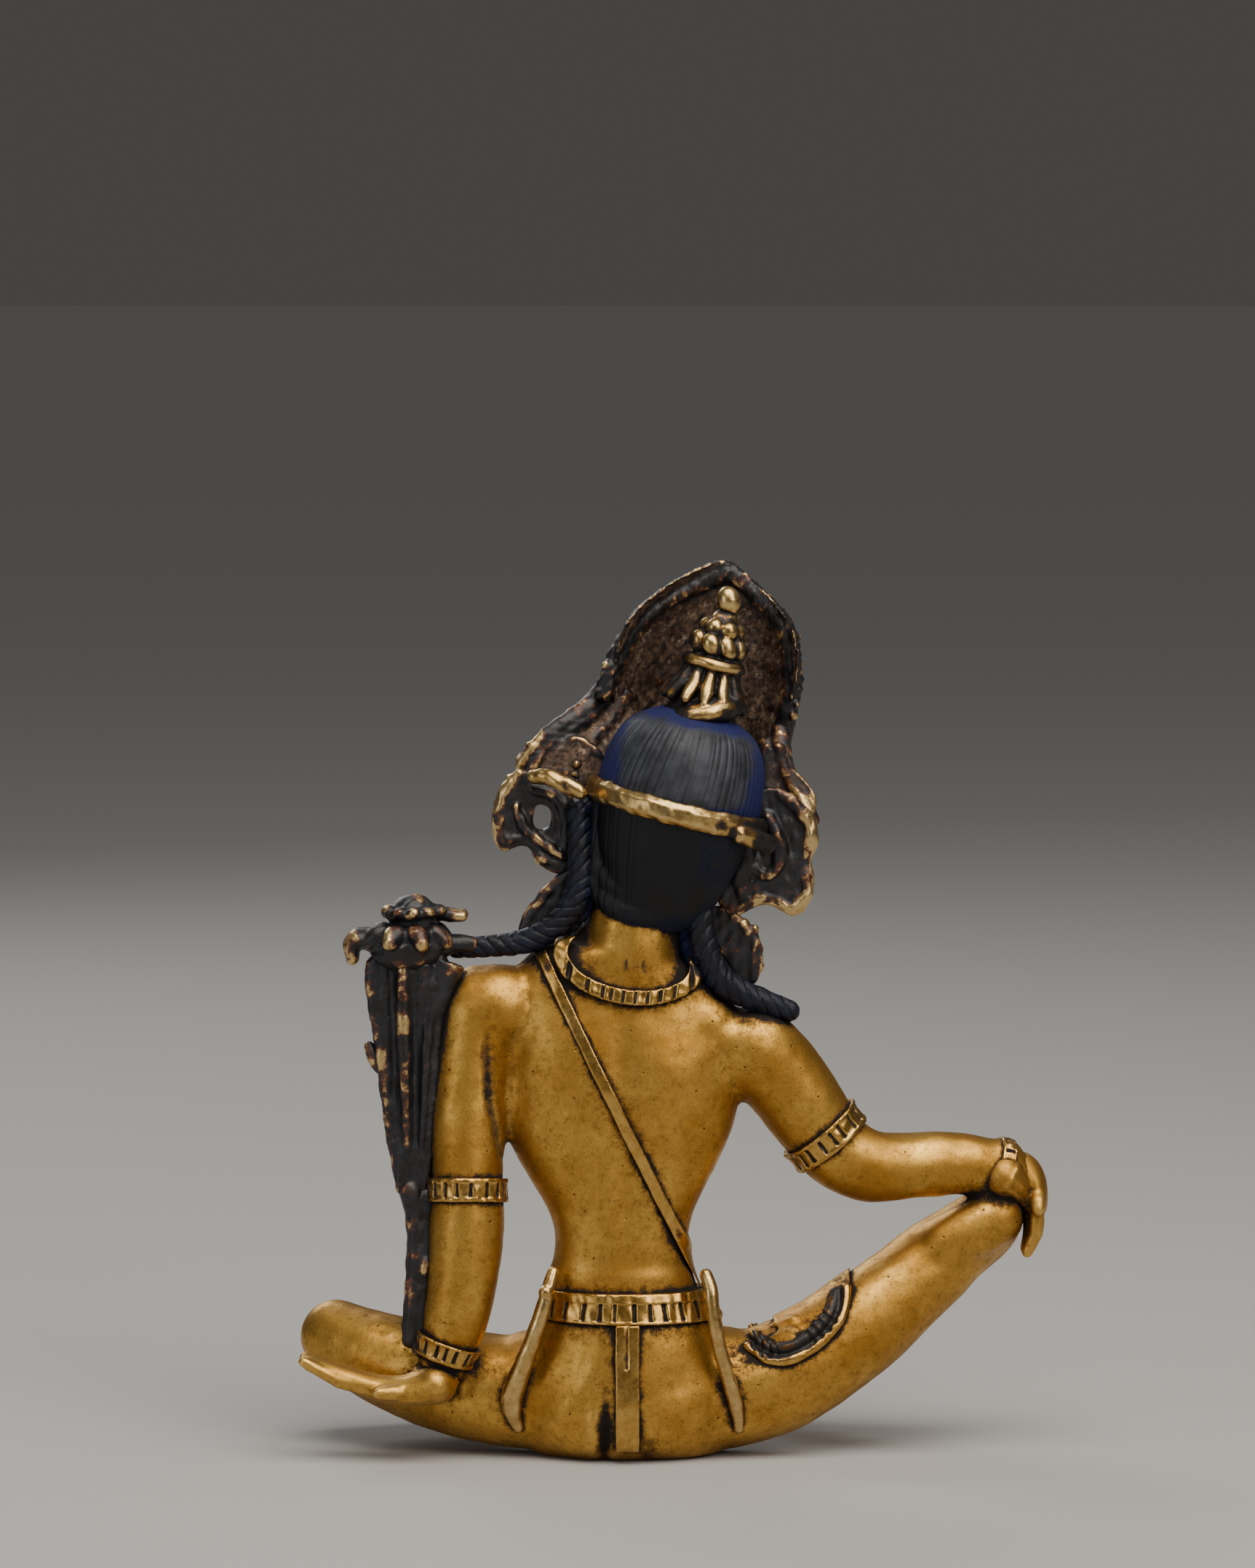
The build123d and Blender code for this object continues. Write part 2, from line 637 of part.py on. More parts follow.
def hand_form(wrist, palm, fingers, thumb_side):
    """A palm bent from the wrist, four fingers side by side and a thumb along the edge."""
    pitch = hand_width / finger_count
    with BuildPart() as form:
        loft([
            oval(Plane(origin=wrist + Vector(x, 0, z), x_dir=BACK,
                       z_dir=(cos(radians(turn)), 0, sin(radians(turn)))), wide, thick)
            for x, z, turn, wide, thick in palm
        ])
        for finger in range(finger_count):
            across = (finger - (finger_count - 1) / 2) * pitch
            add(digit([wrist + Vector(x, across, z) for x, z in fingers],
                      [finger_radius, 0.95 * finger_radius, 0.75 * finger_radius]))
        root, tip = Vector(palm[2][0], 0, palm[2][1]), Vector(fingers[0][0], 0, fingers[0][1])
        edge = Vector(0, thumb_side * hand_width / 2, 0)
        add(digit([wrist + root + edge * 0.6, wrist + (root + tip) / 2 + edge * 1.1,
                   wrist + tip + edge * 1.3],
                  [1.3, 1.1, 0.85]))
    return form.part


with BuildPart() as left_hand:
    add(hand_form(wrist_left, left_palm, left_fingers, 1))
    add([left_thigh.part, left_forearm.part, left_shin.part], mode=Mode.SUBTRACT)
with BuildPart() as right_hand:
    add(hand_form(wrist_right, right_palm, right_fingers, 1))
    add([right_thigh.part, right_forearm.part, right_shin.part], mode=Mode.SUBTRACT)

# bands on the arms, taken out of the swollen arm
arm_reach = 9.0
left_arm_swollen = member(left_arm_line, left_arm_girths, swell=band_stand, end_cap=False)
right_arm_swollen = member(right_arm_line, right_arm_girths, swell=band_stand, end_cap=False)
with BuildPart() as left_armlet:
    add(left_arm_swollen)
    add(band_zone(left_arm_line, left_elbow_place, armlet_width, arm_reach), mode=Mode.INTERSECT)
    add([left_upper_arm.part, left_forearm.part, torso.part], mode=Mode.SUBTRACT)
with BuildPart() as left_bracelet:
    add(left_arm_swollen)
    add(band_zone(left_arm_line, 0.94, bracelet_width, arm_reach), mode=Mode.INTERSECT)
    add([left_forearm.part, left_hand.part, left_thigh.part], mode=Mode.SUBTRACT)
with BuildPart() as right_armlet:
    add(right_arm_swollen)
    add(band_zone(right_arm_line, right_elbow_place, armlet_width, arm_reach), mode=Mode.INTERSECT)
    add([right_upper_arm.part, right_forearm.part], mode=Mode.SUBTRACT)
with BuildPart() as right_bracelet:
    add(right_arm_swollen)
    add(band_zone(right_arm_line, 0.95, bracelet_width - 0.8, arm_reach), mode=Mode.INTERSECT)
    add([right_forearm.part, right_hand.part, right_thigh.part, right_shin.part], mode=Mode.SUBTRACT)

# ---------------------------------------------------------------- dress
with BuildPart() as belt:
    loft([
        oval(Plane((0.4 * rise, spine_y, belt_height + rise * belt_width)), loin_width + spare,
             loin_depth + spare)
        for rise, spare in [(-0.5, 2 * band_stand + 1.1), (0.0, 2 * band_stand + 0.2),
                            (0.5, 2 * band_stand - 0.9)]
    ])
    add([hips.part, torso.part], mode=Mode.SUBTRACT)

# cloth ends, laid down the small of the back and over the hips
left_sash_line = curve((9.6, 4.2, 25.6), (11.2, 5.2, 19.6), (14.2, 6.8, 12.0), (15.0, 6.9, 5.2))
right_sash_line = curve((-9.8, 4.2, 25.0), (-11.4, 5.2, 18.6), (-13.6, 6.8, 11.6), (-14.6, 6.9, 5.2))
sash_girths = [(0.0, sash_width - 1.4, 2.0), (0.4, sash_width - 0.8, 2.4), (0.8, sash_width + 0.4, 2.6),
               (0.97, sash_width, 2.2)]
under_sash = [hips, torso, belt, left_thigh, right_thigh]
with BuildPart() as sash_tail_left:
    add(member(left_sash_line, sash_girths))
    add(touching(sash_tail_left, under_sash), mode=Mode.SUBTRACT)
with BuildPart() as sash_tail_right:
    add(member(right_sash_line, sash_girths))
    add(touching(sash_tail_right, under_sash), mode=Mode.SUBTRACT)

pleat_foot = 1.6
with BuildPart() as back_pleat:
    add(hips_form(0.7))
    with BuildSketch(Plane.XZ):
        with Locations((0, (belt_height - belt_width / 2 + pleat_foot) / 2)):
            Rectangle(pleat_width, belt_height - belt_width / 2 - pleat_foot - seam)
    extrude(amount=-hip_depth, mode=Mode.INTERSECT)
    add([hips.part, belt.part], mode=Mode.SUBTRACT)

# the dhoti lies over the top of the raised thigh and ends in a banded hem
hem_middle = right_thigh_line.position_at(0.36) + Vector(0, 0, 8.2)
hem_shape = [(8.0, 0.6), (4.2, -6.6), (-1.4, -6.2), (-6.2, -0.6), (-7.4, 6.4)]


def hem_prism(grow):
    """The hem's hanging loop, carried through the thigh from front to back."""
    with BuildPart() as form:
        with BuildSketch(Plane.XZ):
            with BuildLine():
                points = [(hem_middle.X + x * grow, hem_middle.Z + z * grow) for x, z in hem_shape]
                Spline(*points)
                Polyline(points[-1], (points[-1][0], hem_middle.Z + 12), (points[0][0], hem_middle.Z + 12),
                         points[0])
            make_face()
        extrude(amount=hip_depth, both=True)
    return form.part


hem_inside = hem_prism(1 - hem_width / 8.0)
thigh_hem_blank = member(right_thigh_line, right_thigh_girths, side=BACK, swell=band_stand)
with BuildPart() as dhoti_right:
    add(member(right_thigh_line, right_thigh_girths, side=BACK, swell=0.5 * band_stand))
    add(hem_inside, mode=Mode.INTERSECT)
    add(touching(dhoti_right, [right_thigh, hips, torso, belt, sash_tail_right]), mode=Mode.SUBTRACT)
with BuildPart() as hem_band_right:
    add(thigh_hem_blank)
    add(hem_prism(1.0), mode=Mode.INTERSECT)
    add(hem_inside, mode=Mode.SUBTRACT)
    add(touching(hem_band_right, [right_thigh, hips, torso, belt, sash_tail_right]), mode=Mode.SUBTRACT)

# ---------------------------------------------------------------- neck and chest ornament
collar_point = Vector(0.2, spine_y, belt_height + back_length)
necklace_width = 2.0
necklace_span = 18.4
necklace_sag = 5.2
necklace_plane = Plane(origin=collar_point + Vector(-0.4, 0, 2.0), z_dir=(0, -1, 0),
                       x_dir=(cos(radians(shoulder_slope)), 0, sin(radians(shoulder_slope))))


def strand_zone():
    """The space of a strand that sags between the shoulders, behind and before."""
    with BuildPart() as zone:
        with BuildSketch(necklace_plane):
            Ellipse((necklace_span + necklace_width) / 2, necklace_sag + necklace_width / 2)
            Ellipse((necklace_span - necklace_width) / 2, necklace_sag - necklace_width / 2,
                    mode=Mode.SUBTRACT)
        extrude(amount=chest_depth, both=True)
    return zone.part


with BuildPart() as necklace:
    add(torso_form(band_stand))
    add(strand_zone(), mode=Mode.INTERSECT)
    add([torso.part, head.part], mode=Mode.SUBTRACT)

with BuildPart() as necklace_pendant:
    pendant_point = collar_point + Vector(-0.2, -7.0, -6.2)
    loft([
        oval(Plane(origin=pendant_point + Vector(0, -out, 0), x_dir=SIDE, z_dir=(0, -1, 0)), 3.2 * share,
             4.0 * share)
        for out, share in [(-1.6, 1.0), (0.2, 1.0), (0.5, 0.8), (1.1, 0.4)]
    ], ruled=True)
    add([torso.part, necklace.part], mode=Mode.SUBTRACT)

thread_top = Vector(11.2, 0, belt_height + 1.07 * back_length)
thread_foot = Vector(-8.0, 0, belt_height + 0.17 * back_length)
thread_way = (thread_top - thread_foot).normalized()
with BuildPart() as sacred_thread:
    add(torso_form(cord_stand))
    with BuildSketch(Plane(origin=(thread_top + thread_foot) / 2, x_dir=BACK, z_dir=thread_way)):
        Rectangle(3 * chest_depth, cord_width)
    extrude(amount=chest_width, both=True, mode=Mode.INTERSECT)
    add(touching(sacred_thread, [torso, necklace, left_upper_arm, right_upper_arm, belt, sash_tail_right]),
        mode=Mode.SUBTRACT)

# ---------------------------------------------------------------- locks, bows and ribbons beside the head
trunk = [head, torso, left_upper_arm, right_upper_arm, necklace, sacred_thread]
hair = [back_hair, hair_fillet, hair_cap]


def lock_form(points, radii):
    """A rope of hair laid through its points, bending in arcs."""
    with BuildPart() as form:
        with BuildLine() as route:
            FilletPolyline(*points, radius=radii)
        with BuildSketch(Plane(origin=route.line @ 0, z_dir=route.line % 0)):
            Circle(tress_radius)
        sweep(path=route.line)
    return form.part


left_lock = [(6.9, 3.4, 85.4), (6.4, 4.0, 76.6), (11.4, 3.4, 69.6), (23.0, 2.4, 69.2)]
right_lock = [(-10.6, 3.4, 79.6), (-9.9, 4.4, 70.0), (-14.6, 3.6, 63.4), (-22.0, 2.6, 61.0)]
with BuildPart() as tress_left:
    add(lock_form(left_lock, [6.0, 7.0]))
    add(touching(tress_left, trunk, hair), mode=Mode.SUBTRACT)
with BuildPart() as tress_right:
    add(lock_form(right_lock, [6.0, 6.0]))
    add(touching(tress_right, trunk, hair), mode=Mode.SUBTRACT)


def flat_scroll(middle, outline, thickness, hole=None):
    """A flat cast scroll standing across the figure, with an eyelet through it where one is given."""
    with BuildPart() as form:
        with BuildSketch(Plane(origin=middle, x_dir=SIDE, z_dir=(0, -1, 0))):
            with BuildLine():
                Spline(*outline, periodic=True)
            make_face()
            if hole:
                Ellipse(*hole, mode=Mode.SUBTRACT)
        extrude(amount=thickness / 2, both=True)
    return form.part


bow_thickness = 2.6
bow_left_outline = [(-0.4, 6.4), (3.6, 5.0), (6.3, 0.8), (3.0, -2.6), (0.4, -6.6), (-2.8, -7.4),
                    (-4.2, -2.0), (-3.8, 3.6)]
bow_right_outline = [(0.6, 6.8), (-4.6, 7.8), (-6.4, 3.2), (-5.6, -2.6), (-2.8, -5.8), (1.6, -4.6),
                     (4.6, -1.2),
                     (4.8, 3.4)]
with BuildPart() as bow_left:
    add(flat_scroll(Vector(11.7, 0.6, 86.2), bow_left_outline, bow_thickness, (1.2, 1.6)))
    add(touching(bow_left, trunk, hair, [tress_left]), mode=Mode.SUBTRACT)
with BuildPart() as bow_right:
    add(flat_scroll(Vector(-18.9, 0.6, 79.4), bow_right_outline, bow_thickness, (0.9, 0.9)))
    add(touching(bow_right, trunk, hair, [tress_right]), mode=Mode.SUBTRACT)

ribbon_thickness = 1.8
ribbon_left_outline = [(-2.4, 4.6), (0.8, 5.4), (3.2, 2.2), (5.4, -2.4), (3.4, -5.2), (-1.6, -3.6),
                       (-4.0, 0.8)]
ribbon_right_outline = [(2.4, 5.0), (-0.8, 4.6), (-2.6, 1.0), (-4.4, -4.2), (-1.2, -6.2), (2.6, -4.4),
                        (4.0, 0.8)]
with BuildPart() as ribbon_left:
    add(flat_scroll(Vector(9.6, 0.9, 73.4), ribbon_left_outline, ribbon_thickness))
    add(touching(ribbon_left, trunk, hair, [tress_left, bow_left]), mode=Mode.SUBTRACT)
with BuildPart() as ribbon_right:
    add(flat_scroll(Vector(-14.2, 0.9, 69.4), ribbon_right_outline, ribbon_thickness))
    add(touching(ribbon_right, trunk, hair, [tress_right, bow_right]), mode=Mode.SUBTRACT)

# side leaves of the crown, sweeping out over the bows
wing_left_outline = [(-5.4, 6.2), (-0.6, 3.4), (4.6, 1.6), (7.4, -1.4), (4.6, -3.2), (-1.2, -2.8),
                     (-5.6, -3.4)]
wing_right_outline = [(2.6, 5.6), (-0.6, 2.4), (-3.6, -1.4), (-3.0, -4.6), (1.0, -4.2), (3.8, -1.0)]
crown = [crown_plate, crown_rim]
with BuildPart() as crown_wing_left:
    add(flat_scroll(Vector(7.0, -3.0, 94.2), wing_left_outline, ribbon_thickness))
    add(touching(crown_wing_left, trunk, hair, crown, [bow_left]), mode=Mode.SUBTRACT)
with BuildPart() as crown_wing_right:
    add(flat_scroll(Vector(-21.6, -3.0, 89.8), wing_right_outline, ribbon_thickness))
    add(touching(crown_wing_right, trunk, hair, crown, [bow_right]), mode=Mode.SUBTRACT)

earring_radius = 1.8


def earring_form(side):
    """A ring through the stretched lobe."""
    with BuildPart() as form:
        lobe = ear_plane.from_local_coords((side * (ear_reach + 1.1), -1.4, -4.4))
        with BuildSketch(Plane(origin=lobe, z_dir=ear_plane.x_dir)):
            Circle(earring_radius)
            Circle(earring_radius - 1.1, mode=Mode.SUBTRACT)
        extrude(amount=0.7, both=True)
    return form.part


beside_ears = [bow_left, bow_right, ribbon_left, ribbon_right, tress_left, tress_right]
with BuildPart() as earring_left:
    add(earring_form(1))
    add(touching(earring_left, trunk, hair, beside_ears), mode=Mode.SUBTRACT)
with BuildPart() as earring_right:
    add(earring_form(-1))
    add(touching(earring_right, trunk, hair, beside_ears), mode=Mode.SUBTRACT)

# ---------------------------------------------------------------- lotus
leaf_foot = elbow_left + Vector(6.6, -0.4, 0.0)
leaf_top = leaf_foot + Vector(-0.4, -0.6, leaf_height)
leaf_ribs = [(-0.32, 0.3), (0.0, 1.0), (0.34, 0.2)]     # place across the leaf, how far it stands to the back
left_arm = [left_upper_arm, left_forearm, left_armlet, left_bracelet, left_hand, left_thigh, torso]
with BuildPart() as lotus_leaf:
    for place, stand in leaf_ribs:
        rib_line = curve(leaf_foot + Vector(place * 1.6, 0, 0),
                         leaf_foot + Vector(1.3 + place * 4.0, 0.5 * stand, 12.0),
                         leaf_top + Vector(place * leaf_width, 1.2 * stand, 0))
        add(member(rib_line, [(0.0, 1.9, 2.2), (0.5, 2.8, 3.0), (1.0, 0.46 * leaf_width, 4.4)],
                   end_cap=False))
    add(touching(lotus_leaf, left_arm), mode=Mode.SUBTRACT)

with BuildPart() as lotus_stalk:
    with BuildLine() as stalk_line:
        FilletPolyline(leaf_foot + Vector(0, 0, -1.4), leaf_foot + Vector(-0.4, 0.3, -10.0),
                       leaf_foot + Vector(0.9, 0.8, -19.6), radius=25.0)
    with BuildSketch(Plane(origin=stalk_line.line @ 0, z_dir=stalk_line.line % 0)):
        Circle(1.2)
    sweep(path=stalk_line.line)
    add(touching(lotus_stalk, left_arm, [lotus_leaf]), mode=Mode.SUBTRACT)

flower_point = leaf_top + Vector(0, 0, 0.8)
# a petal: how far out, how high, its width and thickness, as it opens from the neck to the tip
petal_sections = [(1.2, -1.0, 2.8, 1.6), (0.45 * flower_radius, -0.6, 4.0, 1.8),
                  (0.8 * flower_radius, 0.6, 4.2, 1.7),
                  (1.02 * flower_radius, 1.9, 3.0, 1.4), (1.15 * flower_radius, 3.0, 1.0, 0.8)]


def petal_form():
    """One petal of the flower, opening along +X from the flower's middle."""
    with BuildPart() as form:
        loft([
            oval(Plane(origin=flower_point + Vector(out, 0, up), x_dir=BACK, z_dir=(0.9, 0, 0.4)), wide,
                 thick)
            for out, up, wide, thick in petal_sections
        ], ruled=True)
    return form.part


with BuildPart() as lotus_flower:
    with Locations(flower_point + Vector(0, 0, 0.4)):
        Cylinder(0.55 * flower_radius, 2.4)
    with Locations(Plane(flower_point)):
        with PolarLocations(0, petal_count):
            add(petal_form().moved(Location(-flower_point)))
    add(touching(lotus_flower, left_arm, [lotus_leaf, tress_left]), mode=Mode.SUBTRACT)

pod_point = flower_point + Vector(-1.0, 0, 4.6)
with BuildPart() as lotus_pod:
    with Locations(pod_point):
        Cylinder(pod_radius, 2.4, align=(Align.CENTER, Align.CENTER, Align.MIN))
    chamfer(lotus_pod.edges(), 0.6)
    with Locations(pod_point):
        Cylinder(0.4 * pod_radius, 4.0, align=(Align.CENTER, Align.CENTER, Align.MAX))
    add(touching(lotus_pod, [lotus_flower, tress_left, lotus_leaf]), mode=Mode.SUBTRACT)

bud_point = leaf_foot + Vector(5.0, -0.2, 18.0)
bud_line = curve(bud_point + Vector(-2.0, 0, -3.0), bud_point + Vector(-0.5, 0, -1.2),
                 bud_point + Vector(0.3, 0, 1.6))
with BuildPart() as lotus_bud:
    add(member(bud_line, [(0.0, 1.2, 1.2), (0.6, 2.3, 2.3), (1.0, 1.2, 1.2)]))
    add([lotus_leaf.part], mode=Mode.SUBTRACT)

# ---------------------------------------------------------------- export
pieces = {name: piece for name, piece in list(globals().items()) if isinstance(piece, BuildPart)}
for name, piece in pieces.items():
    piece.part.label = name
    export_step(piece.part, f"parts/{name}.step")
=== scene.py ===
import bpy
import bmesh
import numpy as np
from functools import partial
from math import cos, pi, radians, sin, sqrt
from mathutils import Matrix, Vector
from mathutils.bvhtree import BVHTree


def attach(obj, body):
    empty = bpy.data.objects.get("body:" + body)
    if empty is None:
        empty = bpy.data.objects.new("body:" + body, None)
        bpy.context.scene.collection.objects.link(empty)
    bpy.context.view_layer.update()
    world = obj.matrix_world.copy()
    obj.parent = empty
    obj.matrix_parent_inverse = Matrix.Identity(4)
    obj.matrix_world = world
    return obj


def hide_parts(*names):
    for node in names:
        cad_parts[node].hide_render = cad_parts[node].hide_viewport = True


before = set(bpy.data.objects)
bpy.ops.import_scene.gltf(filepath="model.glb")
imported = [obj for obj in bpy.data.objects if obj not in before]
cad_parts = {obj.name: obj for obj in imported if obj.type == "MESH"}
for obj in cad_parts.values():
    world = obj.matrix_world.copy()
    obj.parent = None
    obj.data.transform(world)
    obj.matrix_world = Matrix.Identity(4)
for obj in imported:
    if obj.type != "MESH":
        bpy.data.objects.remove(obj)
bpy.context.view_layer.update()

MM = 0.001
UP = Vector((0, 0, 1))


# ---------------------------------------------------------------- modelling helpers
def cad_copy(*nodes):
    """A merged copy of some CAD solids, ready to be worked on."""
    form = bmesh.new()
    for name in nodes:
        form.from_mesh(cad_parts[name].data)
    bmesh.ops.remove_doubles(form, verts=form.verts, dist=0.001 * MM)
    return form


def add_ball(form, centre, radii, turn=0.0):
    """A wax ball pressed to the given radii in mm; turn rolls it in the figure's front plane, in degrees."""
    place = (Matrix.Translation(Vector(centre) * MM) @ Matrix.Rotation(radians(turn), 4, "Y")
             @ Matrix.Diagonal((*[radius * MM for radius in radii], 1)))
    bmesh.ops.create_icosphere(form, subdivisions=3, radius=1, matrix=place)


def add_rod(form, route, radii, flat=1.0, rounds=6):
    """A tapering wax rod bent through the route, in mm; flat squeezes it from front to back."""
    line = bpy.data.curves.new("rod", "CURVE")
    line.dimensions = "3D"
    line.bevel_depth = MM
    line.bevel_resolution = 4
    line.resolution_u = rounds
    line.use_fill_caps = True
    spline = line.splines.new("NURBS")
    spline.points.add(len(route) - 1)
    for knot, spot, radius in zip(spline.points, route, radii):
        knot.co = (*(Vector(spot) * MM), 1)
        knot.radius = radius
    spline.order_u = 3
    spline.use_endpoint_u = True
    holder = bpy.data.objects.new("rod", line)
    tube = bpy.data.meshes.new_from_object(holder)
    if flat != 1.0:
        middle = sum(spot[1] for spot in route) / len(route) * MM
        tube.transform(Matrix.Translation((0, middle, 0)) @ Matrix.Diagonal((1, flat, 1, 1))
                       @ Matrix.Translation((0, -middle, 0)))
    form.from_mesh(tube)
    bpy.data.objects.remove(holder)
    bpy.data.curves.remove(line)
    bpy.data.meshes.remove(tube)
    for end, radius in ((route[0], radii[0]), (route[-1], radii[-1])):
        add_ball(form, end, (radius, radius * flat, radius))


def add_plate(form, outline, depth, thick, holes=(), edge=0.35):
    """A flat leaf of metal cut to a rounded outline (x, z in mm), lying at y = depth and pierced by holes."""
    line = bpy.data.curves.new("plate", "CURVE")
    line.dimensions = "2D"
    line.fill_mode = "BOTH"
    line.extrude = (thick / 2 - edge) * MM
    line.bevel_depth = edge * MM
    line.bevel_resolution = 2
    line.resolution_u = 6
    for points in (outline, *holes):
        spline = line.splines.new("NURBS")
        spline.points.add(len(points) - 1)
        for knot, (x, z) in zip(spline.points, points):
            knot.co = (x * MM, z * MM, 0, 1)
        spline.order_u = 3
        spline.use_cyclic_u = True
    holder = bpy.data.objects.new("plate", line)
    sheet = bpy.data.meshes.new_from_object(holder)
    sheet.transform(Matrix.Translation((0, depth * MM, 0)) @ Matrix.Rotation(pi / 2, 4, "X"))
    form.from_mesh(sheet)
    bpy.data.objects.remove(holder)
    bpy.data.curves.remove(line)
    bpy.data.meshes.remove(sheet)


def add_edging(form, outline, depth, radii, flat=1.0):
    """A raised cord of metal laid along an outline (x, z in mm) at y = depth; radii are spread along it."""
    places = np.linspace(0, len(radii) - 1, len(outline))
    add_rod(form, [(x, depth, z) for x, z in outline], np.interp(places, range(len(radii)), radii), flat)


def cast(form, name, grain, polish):
    """The joined wax forms cast as one skin, with a grain in mm, then polished soft."""
    wax = bpy.data.meshes.new(name)
    form.to_mesh(wax)
    form.free()
    piece = bpy.data.objects.new(name, wax)
    bpy.context.scene.collection.objects.link(piece)
    fuse = piece.modifiers.new("fuse", "REMESH")
    fuse.mode = "VOXEL"
    fuse.voxel_size = grain * MM
    soften = piece.modifiers.new("soften", "SMOOTH")
    soften.factor = 0.5
    soften.iterations = polish
    skin = bpy.data.meshes.new_from_object(piece.evaluated_get(bpy.context.evaluated_depsgraph_get()))
    piece.modifiers.clear()
    piece.data = skin
    skin.polygons.foreach_set("use_smooth", [True] * len(skin.polygons))
    return piece


def skin_of(piece):
    """Points and outward directions of a piece's skin, in mm."""
    count = len(piece.data.vertices)
    spots, outward = np.empty(3 * count), np.empty(3 * count)
    piece.data.vertices.foreach_get("co", spots)
    piece.data.vertices.foreach_get("normal", outward)
    return spots.reshape(-1, 3) / MM, outward.reshape(-1, 3)


def chase(piece, amount):
    """Raises or sinks the skin along its outward direction by amount(spots, outward), in mm."""
    spots, outward = skin_of(piece)
    moved = spots + outward * amount(spots, outward)[:, None]
    piece.data.vertices.foreach_set("co", (moved * MM).ravel())
    piece.data.update()


def mark(piece, name, values):
    """Writes one number per point for the materials to read."""
    layer = piece.data.attributes.get(name) or piece.data.attributes.new(name, "FLOAT", "POINT")
    layer.data.foreach_set("value", np.asarray(values, dtype=np.float32))


def dips(spots, centre, radii):
    """A soft bump of height 1 round a centre."""
    away = (spots - np.array(centre)) / np.array(radii)
    return np.exp(-(away * away).sum(axis=1))


def ripple(spots, pitch, seed):
    """Uneven hand-worked waves about pitch mm long, between -1 and 1."""
    dice = np.random.default_rng(seed)
    total = np.zeros(len(spots))
    for step in range(7):
        way = dice.normal(size=3)
        way /= np.linalg.norm(way)
        total += np.sin(spots @ way * (2 * pi / pitch) * dice.uniform(0.6, 1.5) + dice.uniform(0, 2 * pi))
    return total / 4.0


def spread(values, edges, rounds):
    """Averages values over neighbouring points, again and again."""
    count = len(values)
    share = 1.0 / np.maximum(np.bincount(edges.ravel(), minlength=count), 1)
    for _ in range(rounds):
        near = np.empty_like(values)
        for axis in range(values.shape[1]):
            near[:, axis] = (np.bincount(edges[:, 0], weights=values[edges[:, 1], axis], minlength=count)
                             + np.bincount(edges[:, 1], weights=values[edges[:, 0], axis], minlength=count))
        values = 0.4 * values + 0.6 * near * share[:, None]
    return values


made = []


def finish_piece(piece, finish, *nodes):
    """Hangs a finished piece on the figure in place of its CAD solids; finish is its slot, which is not used,
    and its material.
    """
    slot, material = finish
    piece.data.materials.clear()
    piece.data.materials.append(material)
    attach(piece, "root")
    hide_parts(*nodes)
    made.append(piece)
    return piece


def cast_piece(form, name, grain, polish, waves, finish, *nodes):
    """Casts the wax, gives its skin hand-worked waves of (height, pitch, seed) in mm, and hangs it up."""
    piece = cast(form, name, grain, polish)
    if waves:
        chase(piece, lambda spots, outward: sum(high * ripple(spots, *wave) for high, *wave in waves))
    return finish_piece(piece, finish, *nodes)


# ---------------------------------------------------------------- material helpers
def linear(shade):
    """An sRGB hex colour as linear light."""
    parts = [int(shade[i:i + 2], 16) / 255 for i in (1, 3, 5)]
    return (*[c / 12.92 if c <= 0.04045 else ((c + 0.055) / 1.055) ** 2.4 for c in parts], 1)


def add_node(tree, kind, inputs=None, out=0, **settings):
    """Adds a node, sets its properties, fills its sockets with values or links, and gives its output out."""
    laid = tree.nodes.new("ShaderNode" + kind)
    for key, value in settings.items():
        setattr(laid, key, value)
    for key, value in (inputs or {}).items():
        if isinstance(value, bpy.types.NodeSocket):
            tree.links.new(value, laid.inputs[key])
        else:
            laid.inputs[key].default_value = value
    return laid.outputs[out] if laid.outputs else laid


def add_each(add, kind, sockets, rows, **settings):
    """One node for each row of values, which go into the named sockets in turn."""
    return [add(kind, dict(zip(sockets, row)), **settings) for row in rows]


# a value between two limits, and the two ends that it is stretched to and held between
STRETCH = ("Value", "From Min", "From Max", "To Min", "To Max")


def weigh(add, total, *terms):
    """The total plus each mark or noise times its weight."""
    for value, weight in terms:
        total = add("Math", {0: value, 1: weight, 2: total}, operation="MULTIPLY_ADD")
    return total


def lay_coats(add, colour, *coats):
    """Coats of colour laid one over another, each by its share; a colour is sRGB hex or a node's output."""
    for share, coat in ((None, colour), *coats):
        coat = linear(coat) if isinstance(coat, str) else coat
        colour = coat if share is None else add("Mix", {0: share, 6: colour, 7: coat}, 2, data_type="RGBA")
    return colour


def start_material(name, marks=(), noises=()):
    """A new material, its node adder and its own coordinates in mm, then the marks that it reads from the
    skin and its noises, each given as the size of its lumps in mm, its detail and its roughness."""
    material = bpy.data.materials.new(name)
    material.use_nodes = True
    material.node_tree.nodes.clear()
    add = partial(add_node, material.node_tree)
    spots = add("Mapping", {"Vector": add("TexCoord", out="Object"), "Scale": (1000, 1000, 1000)})
    return (material, add, spots,
            *[add("Attribute", out="Fac", attribute_name=mark, attribute_type="GEOMETRY") for mark in marks],
            *add_each(add, "TexNoise", ("Vector", "Scale", "Detail", "Roughness"),
                      [(spots, 1 / size, detail, rough) for size, detail, rough in noises]))


def finish_material(material, add, colour, rough, metallic, relief, strength=0.0, depth=0.0, specular=0.5):
    """Joins colour, gloss and fine relief, depth mm deep, into one skin."""
    bumps = add("Bump", {"Height": relief, "Strength": strength, "Distance": depth * MM})
    shader = add("BsdfPrincipled", {"Base Color": colour, "Roughness": rough, "Metallic": metallic,
                                    "Specular IOR Level": specular, "Normal": bumps})
    add("OutputMaterial", {"Surface": shader})
    return material


